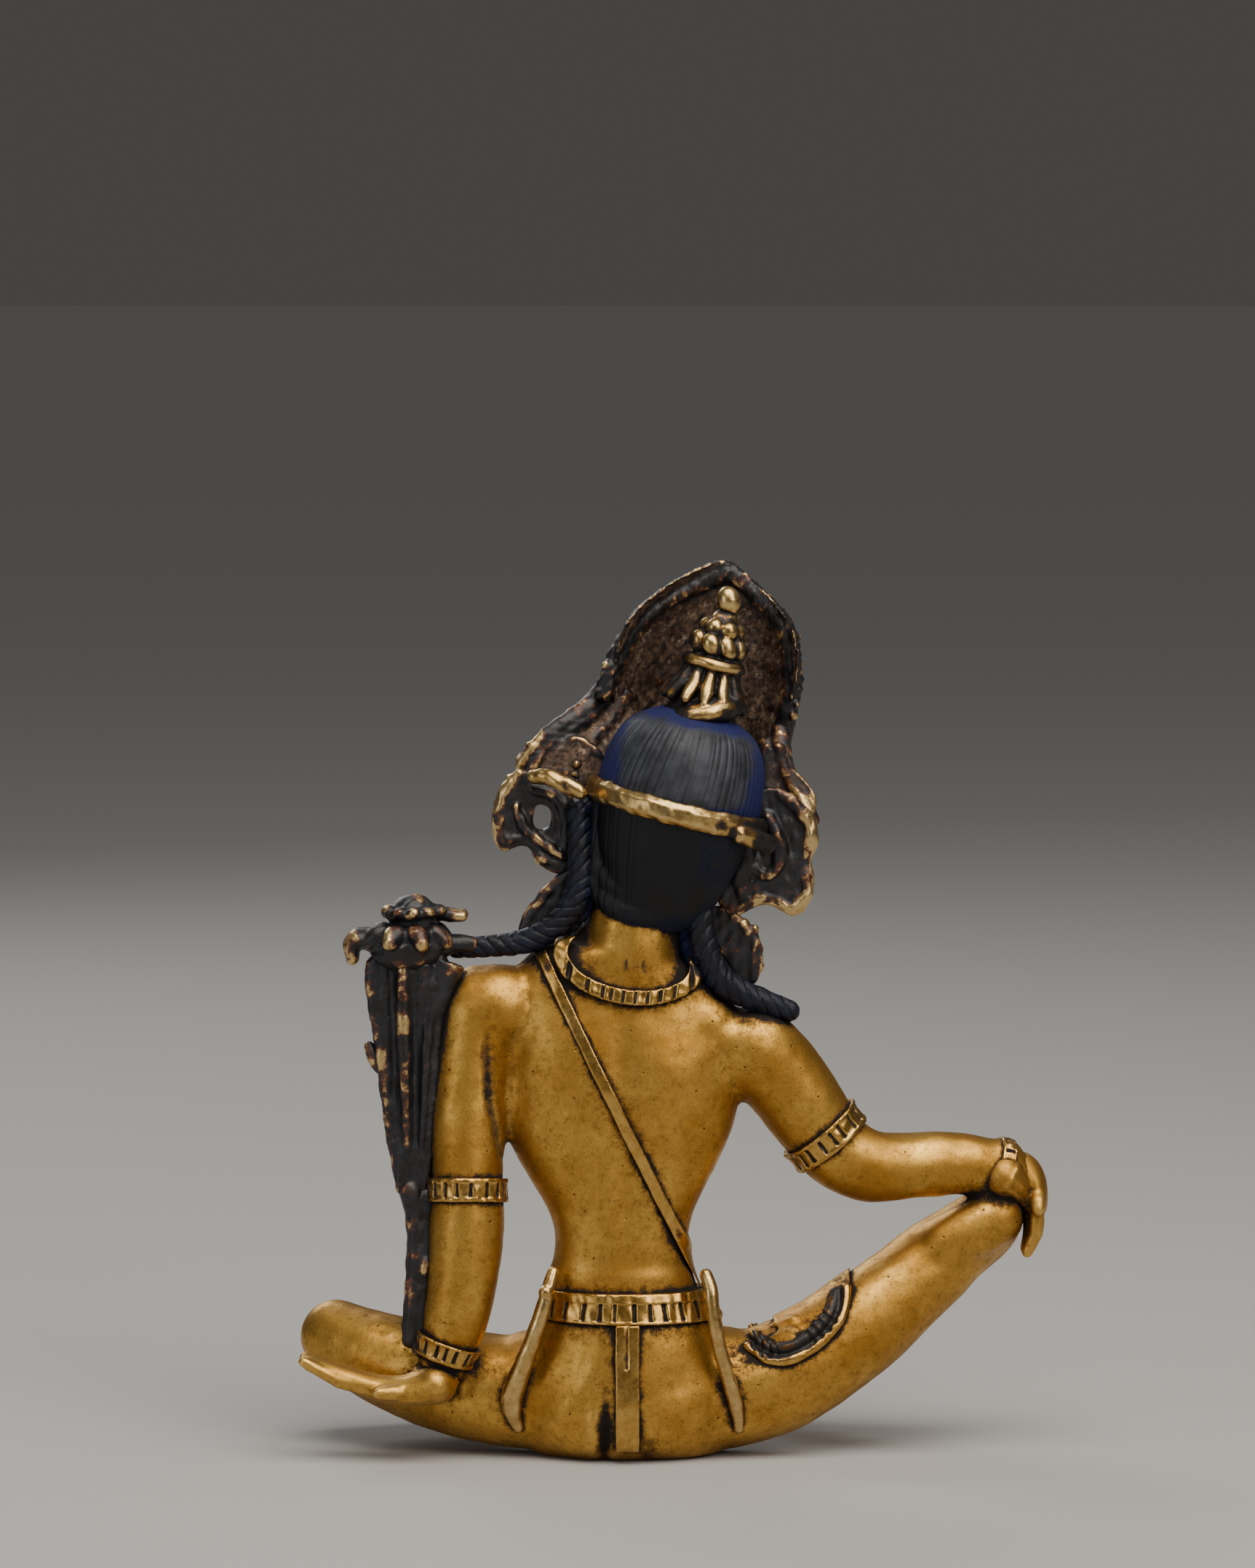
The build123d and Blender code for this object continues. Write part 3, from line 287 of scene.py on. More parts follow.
# ---------------------------------------------------------------- materials
def fire_gilt_copper():
    """Fire-gilt copper, burnished by hand: a satin yellow gold with cloudy redder and paler areas, a fine
    frosted grain, small casting pits, dark chiselled cuts, and dark brown painted shade in sheltered places
    and hollows, mixed with old dirt."""
    material, add, spots, shade_and_grime, ridge, cut, clouds, flecks, grit = start_material(
        "fire_gilt_copper", ("shade_and_grime", "ridge", "cut"), ((9.0, 5, 0.6), (1.3, 6, 0.72), (0.3, 4, 0.7)))
    pits = add("TexVoronoi", {"Vector": spots, "Scale": 1 / 2.6}, feature="F1")
    strokes = add("Mapping", {"Vector": spots, "Rotation": (0.3, 0.5, 0.2), "Scale": (5.5, 5.5, 0.55)})
    burnish = add("TexNoise", {"Vector": strokes, "Scale": 1.0, "Detail": 2, "Roughness": 0.5})
    # painted shade: the shelter mark, broken up by noise, browns and then blackens the gold
    broken = weigh(add, -0.9, (shade_and_grime, 1.0), (flecks, 1.3), (grit, 0.5))
    pale, frosted, grain, crest, tarnish_and_shade, deep_shade_and_grime, hollow, pit, gloss = add_each(add, "MapRange", STRETCH, (
        (clouds, 0.35, 0.68), (flecks, 0.40, 0.70, 0, 0.6), (grit, 0.50, 0.68, 0, 0.45),
        (ridge, 0.05, 0.3, 0, 0.5), (broken, 0.08, 0.46, 0, 0.7), (broken, 0.36, 0.66),
        (ridge, -0.05, -0.32, 0, 0.75), (pits, 0.085, 0.04, 0, 0.8), (clouds, 0.3, 0.7, 0.3875, 0.2675)))
    # painted shade in hollows, where the skin lies below its surroundings, joins the cuts and the sheltered
    # places as near black
    shade_and_dirt = add("Math", {0: cut, 1: hollow}, operation="MAXIMUM")
    shade_and_dirt = add("Math", {0: deep_shade_and_grime, 1: shade_and_dirt}, operation="MAXIMUM")
    colour = lay_coats(add, "#B07F34", (pale, "#DAAC54"), (frosted, "#96702F"), (grain, "#6F4E20"),
                       (crest, "#EBC26E"), (tarnish_and_shade, "#6A461C"), (shade_and_dirt, "#1A110B"), (pit, "#3A2412"))
    rough = weigh(add, gloss, (flecks, 0.25), (tarnish_and_shade, 0.2), (shade_and_dirt, 0.26))
    relief = weigh(add, 0.0, (flecks, 0.45), (grit, 0.22), (burnish, 0.2), (pit, -0.875))
    return finish_material(material, add, colour, rough, weigh(add, 1.0, (shade_and_dirt, -0.7)), relief, 0.5, 0.14)


def worn_cast_brass(name, deep, bright):
    """Cast brass worn bright by handling: pale yellow on the tops, red-brown at the edge of the wear, and a
    black film left in the chiselled cuts and laid as painted shade in sheltered places and hollows, such as
    along the foot of each band."""
    material, add, spots, shade_and_grime, ridge, cut, kept, blots, flecks = start_material(
        name, ("shade_and_grime", "ridge", "cut", "film"), ((2.2, 6, 0.62), (0.6, 4, 0.65)))
    # the film is partly painted shade, thickened where the shelter mark is high and in hollows, and partly
    # real film from noise and the film mark
    film = weigh(add, -0.85, (shade_and_grime, 1.0), (blots, 1.7), (kept, 1.0), (ridge, -2.2))
    pale, fleck, red, thick, chiselled, gloss = add_each(add, "MapRange", STRETCH, (
        (blots, 0.3, 0.7), (flecks, 0.5, 0.75, 0, 0.5), (film, 0.22, 0.44, 0, 0.85), (film, 0.38, 0.58),
        (cut, 0.25, 0.6), (flecks, 0.3, 0.7, 0.22, 0.36)))
    soot = add("Math", {0: thick, 1: chiselled}, operation="MAXIMUM")
    colour = lay_coats(add, deep, (pale, bright), (fleck, "#8C6A32"), (red, "#5C3216"), (soot, "#14100E"))
    rough = weigh(add, gloss, (soot, 0.2))
    relief = weigh(add, 0.0, (blots, 0.5), (flecks, 0.25))
    return finish_material(material, add, colour, rough, weigh(add, 1.0, (soot, -0.75)), relief, 0.4, 0.15)


def blackened_cast_brass():
    """Cast brass under a black lacquer-like film: blue-black and slightly waxy, with brass and a thin
    red-brown line showing only where the highest edges have been rubbed through, and brown casting soil
    left inside the crown."""
    material, add, spots, shade_and_grime, ridge, inside, rub, blots, flecks, crust = start_material(
        "blackened_cast_brass", ("shade_and_grime", "ridge", "inside", "rub"),
        ((2.6, 6, 0.65), (0.7, 5, 0.7), (1.8, 7, 0.78)))
    wear = weigh(add, -1.3, (ridge, 2.6), (blots, 2.6), (rub, 1.0), (shade_and_grime, -0.9))
    pale, fleck, loose, damp, crumbs, low, red, bright, gloss = add_each(add, "MapRange", STRETCH, (
        (blots, 0.35, 0.7), (flecks, 0.52, 0.75, 0, 0.5), (flecks, 0.36, 0.62), (blots, 0.46, 0.62, 0, 0.8),
        (crust, 0.56, 0.63, 0, 0.85), (ridge, 0.12, 0.0), (wear, 0.30, 0.55), (wear, 0.52, 0.72),
        (flecks, 0.3, 0.7, 0.34, 0.5)))
    bed = add("Math", {0: inside, 1: low}, operation="MULTIPLY")
    soil = lay_coats(add, "#1E150F", (loose, "#7A604C"), (damp, "#2C2018"), (crumbs, "#A48E78"))
    colour = lay_coats(add, "#0E0D0C", (pale, "#26282E"), (fleck, "#3A2417"), (bed, soil), (red, "#5A2F16"),
                       (bright, "#CFB27A"))
    rough = weigh(add, gloss, (bed, 0.35), (bright, -0.12))
    relief = weigh(add, 0.0, (blots, 0.5), (flecks, 0.4))
    return finish_material(material, add, colour, rough, weigh(add, 0.15, (bright, 0.85)), relief, 0.6, 0.2)


def blue_painted_hair(name, dark, pale, blue, blue_share, chipping):
    """Mineral blue paint bound in glue, rubbed to charcoal on the tops: a dull sheen, chiselled strands
    that hold soot, and powdery blue where a finger can't reach."""
    material, add, spots, shade_and_grime, cut, film, blots, flecks, chips = start_material(
        name, ("shade_and_grime", "cut", "film"), ((3.0, 5, 0.6), (0.45, 4, 0.7), (1.4, 8, 0.8)))
    thick = weigh(add, -0.65, (film, 0.75), (shade_and_grime, 0.5), (blots, 1.3))
    rubbed, powdery, tint, soot, chip, gloss = add_each(add, "MapRange", STRETCH, (
        (blots, 0.35, 0.68), (thick, 0.3, 0.7), (thick, 0.3, 0.7, 0, blue_share), (cut, 0.3, 0.9, 0, 0.75),
        (chips, 0.735 - chipping, 0.76 - chipping), (flecks, 0.3, 0.7, 0.42, 0.6)))
    colour = lay_coats(add, dark, (rubbed, pale), (tint, blue), (soot, "#07080B"), (chip, "#B79A5E"))
    rough = weigh(add, gloss, (powdery, 0.3))
    relief = weigh(add, 0.0, (blots, 0.4), (flecks, 0.4))
    return finish_material(material, add, colour, rough, chip, relief, 0.4, 0.12, 0.32)


gilt = "gilt_body", fire_gilt_copper()
brass = "worn_brass", worn_cast_brass("worn_cast_brass", "#AE8A4A", "#DDC084")
gilt_brass = "worn_brass", worn_cast_brass("worn_gilt_brass", "#AA7F38", "#D9B064")
black = "black_patina_brass", blackened_cast_brass()
cap_paint, nape_paint, lock_paint = [("painted_hair", blue_painted_hair(*shades)) for shades in (
    ("rubbed_blue_hair_paint", "#1C1E24", "#3A3D46", "#10184C", 0.95, 0.0),
    ("deep_blue_hair_paint", "#020306", "#04070E", "#050E2A", 0.7, 0.03),
    ("sooty_blue_lock_paint", "#05070D", "#10162A", "#0F1C4C", 0.7, 0.0))]

# ---------------------------------------------------------------- body
limbs = ("hips", "torso", "left_thigh", "left_shin", "right_thigh", "right_shin",
         "left_upper_arm", "left_forearm", "right_upper_arm", "right_forearm")
form = cad_copy(*limbs)
# flesh that joins the limbs to the trunk, and cloth drawn over the thighs
add_ball(form, (17.6, 1.2, 60.6), (6.6, 6.0, 5.8), 15)
add_ball(form, (-14.4, 0.6, 55.2), (5.6, 5.6, 5.2), -25)
add_ball(form, (12.4, -1.0, 9.4), (8.0, 7.6, 7.4))
add_ball(form, (-12.8, -1.0, 9.6), (8.0, 7.8, 7.6))
add_rod(form, [(-36.0, -2.4, 38.7), (-42.0, -3.0, 38.9), (-47.6, -3.6, 38.9), (-51.4, -3.9, 37.2)],
        (4.6, 4.5, 4.0, 3.6))
add_ball(form, (-49.4, -4.0, 34.6), (2.8, 2.6, 2.4))
add_rod(form, [(-43.0, -3.2, 28.0), (-46.4, -3.2, 29.8), (-49.7, -3.4, 31.5)], (4.0, 4.1, 3.8))
# the root of the neck, and flesh sloping from it to the shoulders
add_rod(form, [(0.4, 1.3, 60.0), (-0.4, 0.8, 64.0), (-0.8, 0.8, 69.0), (-1.2, 0.6, 75.5)],
        (6.3, 6.5, 6.85, 6.1))
add_rod(form, [(4.2, 0.6, 70.6), (7.0, 0.4, 67.8), (10.0, 0.6, 65.0)], (2.2, 2.4, 2.6))
add_rod(form, [(-10.5, 1.6, 58.6), (-1.0, 1.2, 62.6), (10.5, 1.8, 62.6)], (4.4, 4.8, 4.4))
body = cast(form, "gilt_body", 0.5, 14)


def crease_beside_arm(spots):
    """How close each point is to the fold where the hanging arm lies against the ribs, from 0 to 1."""
    x, y, z = spots.T
    line = np.interp(z, (37.0, 41.0, 49.0, 56.0), (15.0, 16.9, 18.5, 19.0))
    return np.exp(-((x - line) / 0.34) ** 2) * np.clip((z - 38) / 3, 0, 1) * np.clip((57.5 - z) / 3, 0, 1)


def body_modelling(spots, outward):
    back = np.clip(outward[:, 1], 0, 1)
    x, y, z = spots.T
    spine = 0.9 * (z - 24) / 40
    groove = np.exp(-((x - spine) / 1.7) ** 2) * np.clip((z - 26) / 8, 0, 1) * np.clip((62 - z) / 8, 0, 1)
    amount = -0.45 * groove * back
    # shoulder blades and the hollow between them and the arms
    amount += 0.55 * dips(spots, (9.0, 8, 56), (4.6, 9, 5.2)) * back
    amount += 0.5 * dips(spots, (-6.6, 8, 53), (4.4, 9, 5.0)) * back
    amount -= 0.35 * dips(spots, (14.6, 6, 51), (1.5, 6, 8)) * back
    # fold of flesh over the belt, and the cleft beside the pleat
    amount += 0.35 * np.exp(-((z - 24.6) / 1.3) ** 2) * (np.abs(x) < 13) * np.clip(back + 0.4, 0, 1)
    cleft = np.exp(-((x - 3.0) / 0.7) ** 2) * np.clip((11.5 - z) / 5, 0, 1) * back
    amount -= 1.1 * cleft
    amount += 0.4 * np.exp(-((x - 4.9) / 1.0) ** 2) * np.clip((8.5 - z) / 4, 0, 1) * back
    # crease between the upper arm and the ribs, soft drapery folds over the seat
    amount -= 0.45 * crease_beside_arm(spots) * np.clip(back + 0.3, 0, 1)
    folds = np.sin((x * 0.55 + np.abs(x) * 0.25 + z * 0.5) * 1.35) * np.clip((16.5 - z) / 6, 0, 1)
    amount += 0.13 * folds * back * (np.abs(x) < 22)
    return amount + 0.05 * ripple(spots, 5.5, 3) + 0.03 * ripple(spots, 2.3, 4)


chase(body, body_modelling)
finish_piece(body, gilt, *limbs)

# ---------------------------------------------------------------- head
chin = Vector((-3.1, -1.0, 70.55))
HEAD_LEAN = 12
face_up = Vector((-sin(radians(HEAD_LEAN)), 0, cos(radians(HEAD_LEAN))))
face_side = Vector((cos(radians(HEAD_LEAN)), 0, sin(radians(HEAD_LEAN))))


def on_head(across, forward, rise):
    """A place on the head in mm: to the figure's left, forward of the ears' line, up from the chin."""
    return chin + face_side * across + face_up * rise - Vector((0, forward, 0))


form = cad_copy("head")
for side in (-1, 1):
    add_ball(form, on_head(4.2 * side, 6.8, 6.3), (3.4, 2.5, 3.9), HEAD_LEAN)
    add_ball(form, on_head(3.65 * side, 9.2, 9.2), (2.1, 1.05, 1.2), HEAD_LEAN - 5 * side)
    brow = [on_head(x * side, forward, rise) for x, forward, rise in
            ((0.7, 10.5, 10.8), (2.2, 10.3, 12.0), (4.4, 9.6, 12.5), (6.4, 8.0, 11.6), (7.4, 6.9, 10.5))]
    add_rod(form, brow, (0.45, 0.5, 0.5, 0.4, 0.25))
    add_ball(form, on_head(1.3 * side, 10.7, 5.5), (0.85, 0.95, 0.7), HEAD_LEAN)
add_rod(form, [on_head(0, 10.5, 11.2), on_head(0, 11.2, 8.4), on_head(0, 11.6, 6.2)], (0.8, 0.85, 0.95))
add_ball(form, on_head(0, 9.1, 4.9), (2.2, 1.35, 1.5), HEAD_LEAN)
add_rod(form, [on_head(x, forward, rise) for x, forward, rise in
               ((-2.6, 9.4, 3.65), (-1.2, 10.3, 4.05), (0, 10.55, 3.8), (1.2, 10.3, 4.05), (2.6, 9.4, 3.65))],
        (0.25, 0.55, 0.6, 0.55, 0.25))
add_rod(form, [on_head(-2.3, 9.4, 3.3), on_head(0, 10.6, 2.35), on_head(2.3, 9.4, 3.3)], (0.25, 0.8, 0.25))
add_ball(form, on_head(0, 8.9, 0.8), (2.3, 1.7, 1.6), HEAD_LEAN)
add_ball(form, on_head(0, 10.5, 13.4), (0.6, 0.6, 0.6), HEAD_LEAN)
head = cast(form, "gilt_head", 0.22, 7)


def face_modelling(spots, outward):
    local = spots - np.array(chin)
    across = local @ np.array(face_side)
    rise = local @ np.array(face_up)
    facing = np.clip(-outward[:, 1], 0, 1)
    front = facing * (local[:, 1] < -5)
    reach = np.abs(across)
    off_eye = np.abs(reach - 3.65)
    lower_lid = np.exp(-((rise - 8.85 - 0.14 * off_eye ** 2) / 0.18) ** 2) * (off_eye < 2.0)
    upper_lid = np.exp(-((rise - 10.3 + 0.12 * off_eye ** 2) / 0.2) ** 2) * (off_eye < 2.3)
    socket = np.exp(-((reach - 3.6) / 2.2) ** 2 - ((rise - 10.9) / 0.9) ** 2)
    lips = np.exp(-((rise - 3.3 - 0.06 * reach * reach) / 0.18) ** 2) * (reach < 2.5)
    dimple = (np.exp(-((reach - 2.9) / 0.5) ** 2 - ((rise - 3.6) / 0.5) ** 2)
              + np.exp(-(across / 0.9) ** 2 - ((rise - 1.5) / 0.5) ** 2))
    groove = np.exp(-(across / 0.45) ** 2 - ((rise - 4.75) / 0.4) ** 2)
    throat = (np.exp(-((rise + 1.3) / 0.22) ** 2) + np.exp(-((rise + 2.9) / 0.22) ** 2)) * facing
    return (-0.34 * lower_lid * front - 0.16 * upper_lid * front - 0.3 * socket * front - 0.34 * lips * front
            - 0.18 * dimple * front - 0.1 * groove * front - 0.2 * throat * (local[:, 1] > -9))


chase(head, face_modelling)
for piece in (head, body):
    spots, outward = skin_of(piece)
    nicks = np.zeros(len(spots))
    for x, z in ((0.2, 66.8), (-1.0, 66.7), (-2.2, 66.5)):
        nicks = np.maximum(nicks, np.exp(-((spots[:, 0] - x - 0.1 * (spots[:, 2] - z)) / 0.2) ** 2)
                           * (np.abs(spots[:, 2] - z) < 0.9) * (outward[:, 1] > 0.5))
    chase(piece, lambda spots, outward: -0.18 * nicks)
    # on the body the fold beside the arm is marked with the cuts and darkened: painted shade in the crease
    mark(piece, "cut", nicks if piece is head else np.maximum(nicks, 0.75 * crease_beside_arm(spots)))
finish_piece(head, gilt, "head")

# ---------------------------------------------------------------- hands and feet
form = cad_copy("right_hand")
add_rod(form, [(-50.6, -3.9, 37.4), (-53.0, -4.6, 35.6), (-54.7, -5.2, 32.4), (-55.0, -5.2, 29.6),
               (-54.2, -5.0, 27.6)], (3.3, 2.6, 1.6, 1.45, 1.1), 1.5)
cast_piece(form, "gilt_right_hand", 0.22, 6, (), gilt, "right_hand")
form = cad_copy("left_hand")
add_rod(form, [(25.6, 6.4, 10.6), (28.6, 6.5, 9.4), (33.0, 6.5, 9.8), (38.0, 6.5, 11.4), (42.4, 6.4, 13.2)],
        (2.9, 2.3, 1.8, 1.5, 1.1), 1.5)
cast_piece(form, "gilt_left_hand", 0.22, 16, (), gilt, "left_hand")
for name in ("left_foot", "right_foot"):
    cast_piece(cad_copy(name), "gilt_" + name, 0.26, 6, (), gilt, name)

# ---------------------------------------------------------------- bands with chiselled nicks


def band_axis(spots):
    """The middle of a band and the direction it is threaded on."""
    middle = (spots.max(axis=0) + spots.min(axis=0)) / 2
    away = spots - spots.mean(axis=0)
    return middle, np.linalg.eigh(away.T @ away)[1][:, 0]


def chisel_band(node, pitch, depth, rims, seed, low=-0.62, high=0.62, grip=0.975, form=None):
    """A cast band with a row of chiselled nicks, drawn in to grip of its CAD girth to bed in the flesh."""
    form = form or cad_copy(node)
    spots = np.array([tuple(corner.co) for corner in form.verts])
    middle, axis = band_axis(spots)
    for corner in form.verts:
        away = corner.co - Vector(middle)
        corner.co -= (1 - grip) * (away - away.dot(Vector(axis)) * Vector(axis))
    piece = cast(form, "brass_" + node, 0.17, 6)
    spots, outward = skin_of(piece)
    middle, axis = band_axis(spots)
    first = np.cross(axis, (0, 0.2, 1.0))
    first /= np.linalg.norm(first)
    second = np.cross(axis, first)
    away = spots - middle
    along = away @ axis
    along /= np.percentile(np.abs(along), 96)
    if axis[2] < 0:
        along = -along
    east, north = away @ first, away @ second
    radius = np.sqrt(east ** 2 + north ** 2)
    angle = np.arctan2(north, east)
    off_axis = (east / radius)[:, None] * first + (north / radius)[:, None] * second
    facing = (outward * off_axis).sum(axis=1) > 0.35
    dice = np.random.default_rng(seed)
    count = max(6, round(2 * pi * radius.mean() / pitch))
    places = (np.arange(count) + dice.uniform(-0.16, 0.16, count)) * 2 * pi / count
    gap = np.abs((angle[:, None] - places[None, :] + pi) % (2 * pi) - pi)
    nearest = gap.argmin(axis=1)
    off = gap.min(axis=1) * radius
    strength = dice.uniform(0.7, 1.0, count)[nearest]
    row = (along > low) & (along < high) & facing
    nick = np.exp(-(off / 0.2) ** 2) * strength * row
    field = row * rims
    chase(piece, lambda spots, outward: -depth * nick - field + 0.1 * ripple(spots, 1.9, seed) * facing)
    mark(piece, "cut", nick)
    finish_piece(piece, gilt_brass, node)
    return piece


for number, (node, pitch) in enumerate((
        ("left_armlet", 1.7), ("left_bracelet", 1.5), ("right_armlet", 1.7), ("right_bracelet", 1.5),
        ("left_anklet", 1.5), ("right_anklet", 1.5))):
    chisel_band(node, pitch, 0.42, 0.1, 20 + number, grip=0.83 if node == "right_bracelet" else 0.965)
chisel_band("belt", 2.4, 0.5, 0.1, 31, -0.8, 0.4, 0.985)
# the necklace rides up against the neck behind
form = cad_copy("necklace")
for corner in form.verts:
    corner.co.z += 0.1 * (corner.co.y + 6.5 * MM)
chisel_band("necklace", 1.9, 0.42, 0.0, 32, -1.4, 1.4, 1.0, form)

# ---------------------------------------------------------------- thread, pendant, earrings
cast_piece(cad_copy("sacred_thread"), "brass_sacred_thread", 0.16, 5, ((0.06, 3.0, 41),), gilt_brass,
           "sacred_thread")
for name in ("necklace_pendant", "earring_left", "earring_right"):
    finish_piece(cast(cad_copy(name), "brass_" + name, 0.12, 3), brass, name)

# ---------------------------------------------------------------- hair
cap = cast(cad_copy("hair_cap"), "painted_hair_cap", 0.19, 5)


def strands(spots, pitch, width, seed, lean):
    """How deep a comb of chiselled strands runs, measured round an upright line through the head."""
    middle = on_head(0, 0, 10)
    local = spots - np.array(middle)
    across = local @ np.array(face_side)
    angle = np.arctan2(across, local[:, 1]) + lean * (local @ np.array(face_up)) / 12.0
    count = int(2 * pi * 11.5 / pitch)
    dice = np.random.default_rng(seed)
    places = (np.arange(count) + dice.uniform(-0.28, 0.28, count)) * 2 * pi / count
    gap = np.abs((angle[:, None] - places[None, :] + pi) % (2 * pi) - pi)
    nearest = gap.argmin(axis=1)
    radius = np.sqrt(across ** 2 + local[:, 1] ** 2)
    return np.exp(-(gap.min(axis=1) * radius / width) ** 2) * dice.uniform(0.35, 1.0, count)[nearest]


spots, outward = skin_of(cap)
rise = (spots - np.array(chin)) @ np.array(face_up)
combed = strands(spots, 0.95, 0.17, 51, 0.12)
combed = combed * np.clip((rise - 17.2) / 1.0, 0, 1) * np.clip((29.6 - rise) / 2.5, 0, 1)
chase(cap, lambda spots, outward: -0.17 * combed + 0.06 * ripple(spots, 3.2, 52))
mark(cap, "cut", combed)
across = (spots - np.array(chin)) @ np.array(face_side)
mark(cap, "film", np.clip((np.abs(across - 0.2) - 7.2) / 2.6, 0, 1) + np.clip((rise - 27.4) / 1.6, 0, 1)
     + np.clip((19.6 - rise) / 1.6, 0, 1) * np.clip((-across - 2.0) / 5, 0, 1))
finish_piece(cap, cap_paint, "hair_cap")

form = cad_copy("back_hair")
add_rod(form, [(3.4, 3.2, 88.0), (3.7, 3.4, 82.0), (4.2, 4.0, 77.6)], (1.5, 1.5, 1.4))
add_rod(form, [(4.6, 2.4, 77.8), (2.8, 4.3, 75.4), (0.0, 5.5, 73.7), (-3.4, 5.7, 73.3), (-6.4, 4.6, 74.4)],
        (1.7, 2.0, 2.2, 2.2, 1.9))
add_rod(form, [(3.6, 3.6, 79.4), (0.6, 5.2, 76.6), (-3.4, 5.6, 76.0), (-6.2, 4.6, 77.0)],
        (2.0, 2.5, 2.6, 2.2))
nape = cast(form, "painted_back_hair", 0.19, 16)
spots, outward = skin_of(nape)
combed = strands(spots, 1.45, 0.13, 53, 0.0) * np.clip(outward[:, 1] + 0.2, 0, 1)
chase(nape, lambda spots, outward: -0.15 * combed + 0.06 * ripple(spots, 3.6, 54))
mark(nape, "cut", combed)
mark(nape, "film", 0.1 + 0.6 * np.clip((75.0 - spots[:, 2]) / 3.0, 0, 1)
     + 0.5 * np.clip((-8.0 - spots[:, 0]) / 2, 0, 1))
finish_piece(nape, nape_paint, "back_hair")


def carve_rope(piece, route, lay, depth):
    """Chisels slanting cuts along a lock of hair laid through the route."""
    stops = np.array([tuple(Vector(a).lerp(Vector(b), t / 24)) for a, b in zip(route, route[1:])
                      for t in range(24)])
    run = np.concatenate(([0], np.cumsum(np.linalg.norm(np.diff(stops, axis=0), axis=1))))
    ways = np.gradient(stops, axis=0)
    ways /= np.linalg.norm(ways, axis=1)[:, None]
    spots, outward = skin_of(piece)
    nearest = ((spots[:, None, :] - stops[None, :, :]) ** 2).sum(axis=2).argmin(axis=1)
    along = run[nearest] + ((spots - stops[nearest]) * ways[nearest]).sum(axis=1)
    way = ways[nearest]
    flat = np.cross(way, (0, 1, 0))
    flat /= np.linalg.norm(flat, axis=1)[:, None]
    across = ((spots - stops[nearest]) * flat).sum(axis=1)
    phase = (along - 0.9 * across) / lay
    cut = np.exp(-((phase - np.round(phase)) * lay / 0.2) ** 2) * (outward[:, 1] > -0.2)
    chase(piece, lambda spots, outward: -depth * cut + 0.07 * ripple(spots, 2.4, 60))
    mark(piece, "cut", cut)


left_lock = [(6.6, 3.4, 86.8), (6.0, 3.8, 79.0), (7.0, 3.9, 74.6), (10.2, 3.6, 70.9), (15.0, 3.0, 68.9),
             (23.0, 2.4, 68.6)]
right_lock = [(-9.6, 3.6, 82.0), (-9.5, 4.2, 74.0), (-10.2, 4.4, 68.0), (-12.9, 3.8, 63.8),
              (-17.0, 3.2, 61.8), (-21.6, 2.6, 60.2)]
form = bmesh.new()
add_rod(form, left_lock, (1.6, 1.8, 1.9, 1.8, 1.65, 1.4), rounds=10)
# the flat hair under it, in front of the ear
add_rod(form, [(5.2, 1.6, 87.6), (4.9, 1.6, 82.0), (4.8, 1.8, 77.0), (6.2, 2.6, 73.4), (8.6, 2.8, 70.8)],
        (1.5, 1.7, 1.6, 1.5, 1.2))
piece = cast(form, "painted_left_lock", 0.2, 4)
carve_rope(piece, left_lock, 1.8, 0.24)
finish_piece(piece, lock_paint, "tress_left")
form = bmesh.new()
add_rod(form, right_lock, (1.7, 1.9, 2.0, 1.95, 1.85, 1.5), rounds=10)
add_rod(form, [(-8.3, 2.2, 76.0), (-8.2, 2.3, 71.0), (-9.3, 2.5, 66.4), (-12.0, 2.6, 63.6)],
        (1.7, 1.9, 1.9, 1.3))
piece = cast(form, "painted_right_lock", 0.2, 4)
carve_rope(piece, right_lock, 1.9, 0.24)
finish_piece(piece, lock_paint, "tress_right")

# ---------------------------------------------------------------- fillet
form = cad_copy("hair_fillet")
add_rod(form, [(12.4, 3.4, 91.6), (10.8, 4.4, 92.0), (8.6, 5.4, 90.8), (6.4, 6.0, 89.8)],
        (1.0, 1.25, 1.2, 1.0))
add_rod(form, [(-15.0, 9.0, 84.4), (-17.4, 7.6, 83.4), (-18.6, 6.4, 82.9)], (1.4, 1.5, 1.3))
fillet = cast(form, "brass_fillet", 0.22, 5)
chase(fillet, lambda spots, outward: 0.16 * ripple(spots, 5.0, 71) + 0.07 * ripple(spots, 1.8, 72))
x, y, z = skin_of(fillet)[0].T
mark(fillet, "film", np.clip((-9.5 - x) / 4, 0, 1) * 0.55 + np.clip((-16.4 - x) / 1.2, 0, 1) * 0.5
     + np.clip((x - 5.0) / 1.5, 0, 1) * 0.55 + np.clip(-y / 3, 0, 1) * 0.1)
finish_piece(fillet, brass, "hair_fillet")

# ---------------------------------------------------------------- chignon and jewel
knot_foot = Vector((-9.4, -0.3, 98.2))
KNOT_LEAN = 14
knot_up = Vector((-sin(radians(KNOT_LEAN)), 0, cos(radians(KNOT_LEAN))))
knot_side = Vector((cos(radians(KNOT_LEAN)), 0, sin(radians(KNOT_LEAN))))


def on_knot(turn, out, rise):
    """A place on the hair knot: turn in degrees round it, out from its middle and up it in mm."""
    away = knot_side * (out * cos(radians(turn))) + Vector((0, out * sin(radians(turn)), 0))
    return knot_foot + away + knot_up * rise


form = bmesh.new()
# the coiled core, widest where it sits on the cap
add_rod(form, [on_knot(0, 0, 0.4), on_knot(0, 0, 3), on_knot(0, 0, 7), on_knot(0, 0, 10),
               on_knot(0, 0, 14.2)], (5.0, 4.2, 3.5, 3.0, 1.9))
add_ball(form, on_knot(90, 0.8, 1.7), (5.9, 5.8, 2.5), KNOT_LEAN)
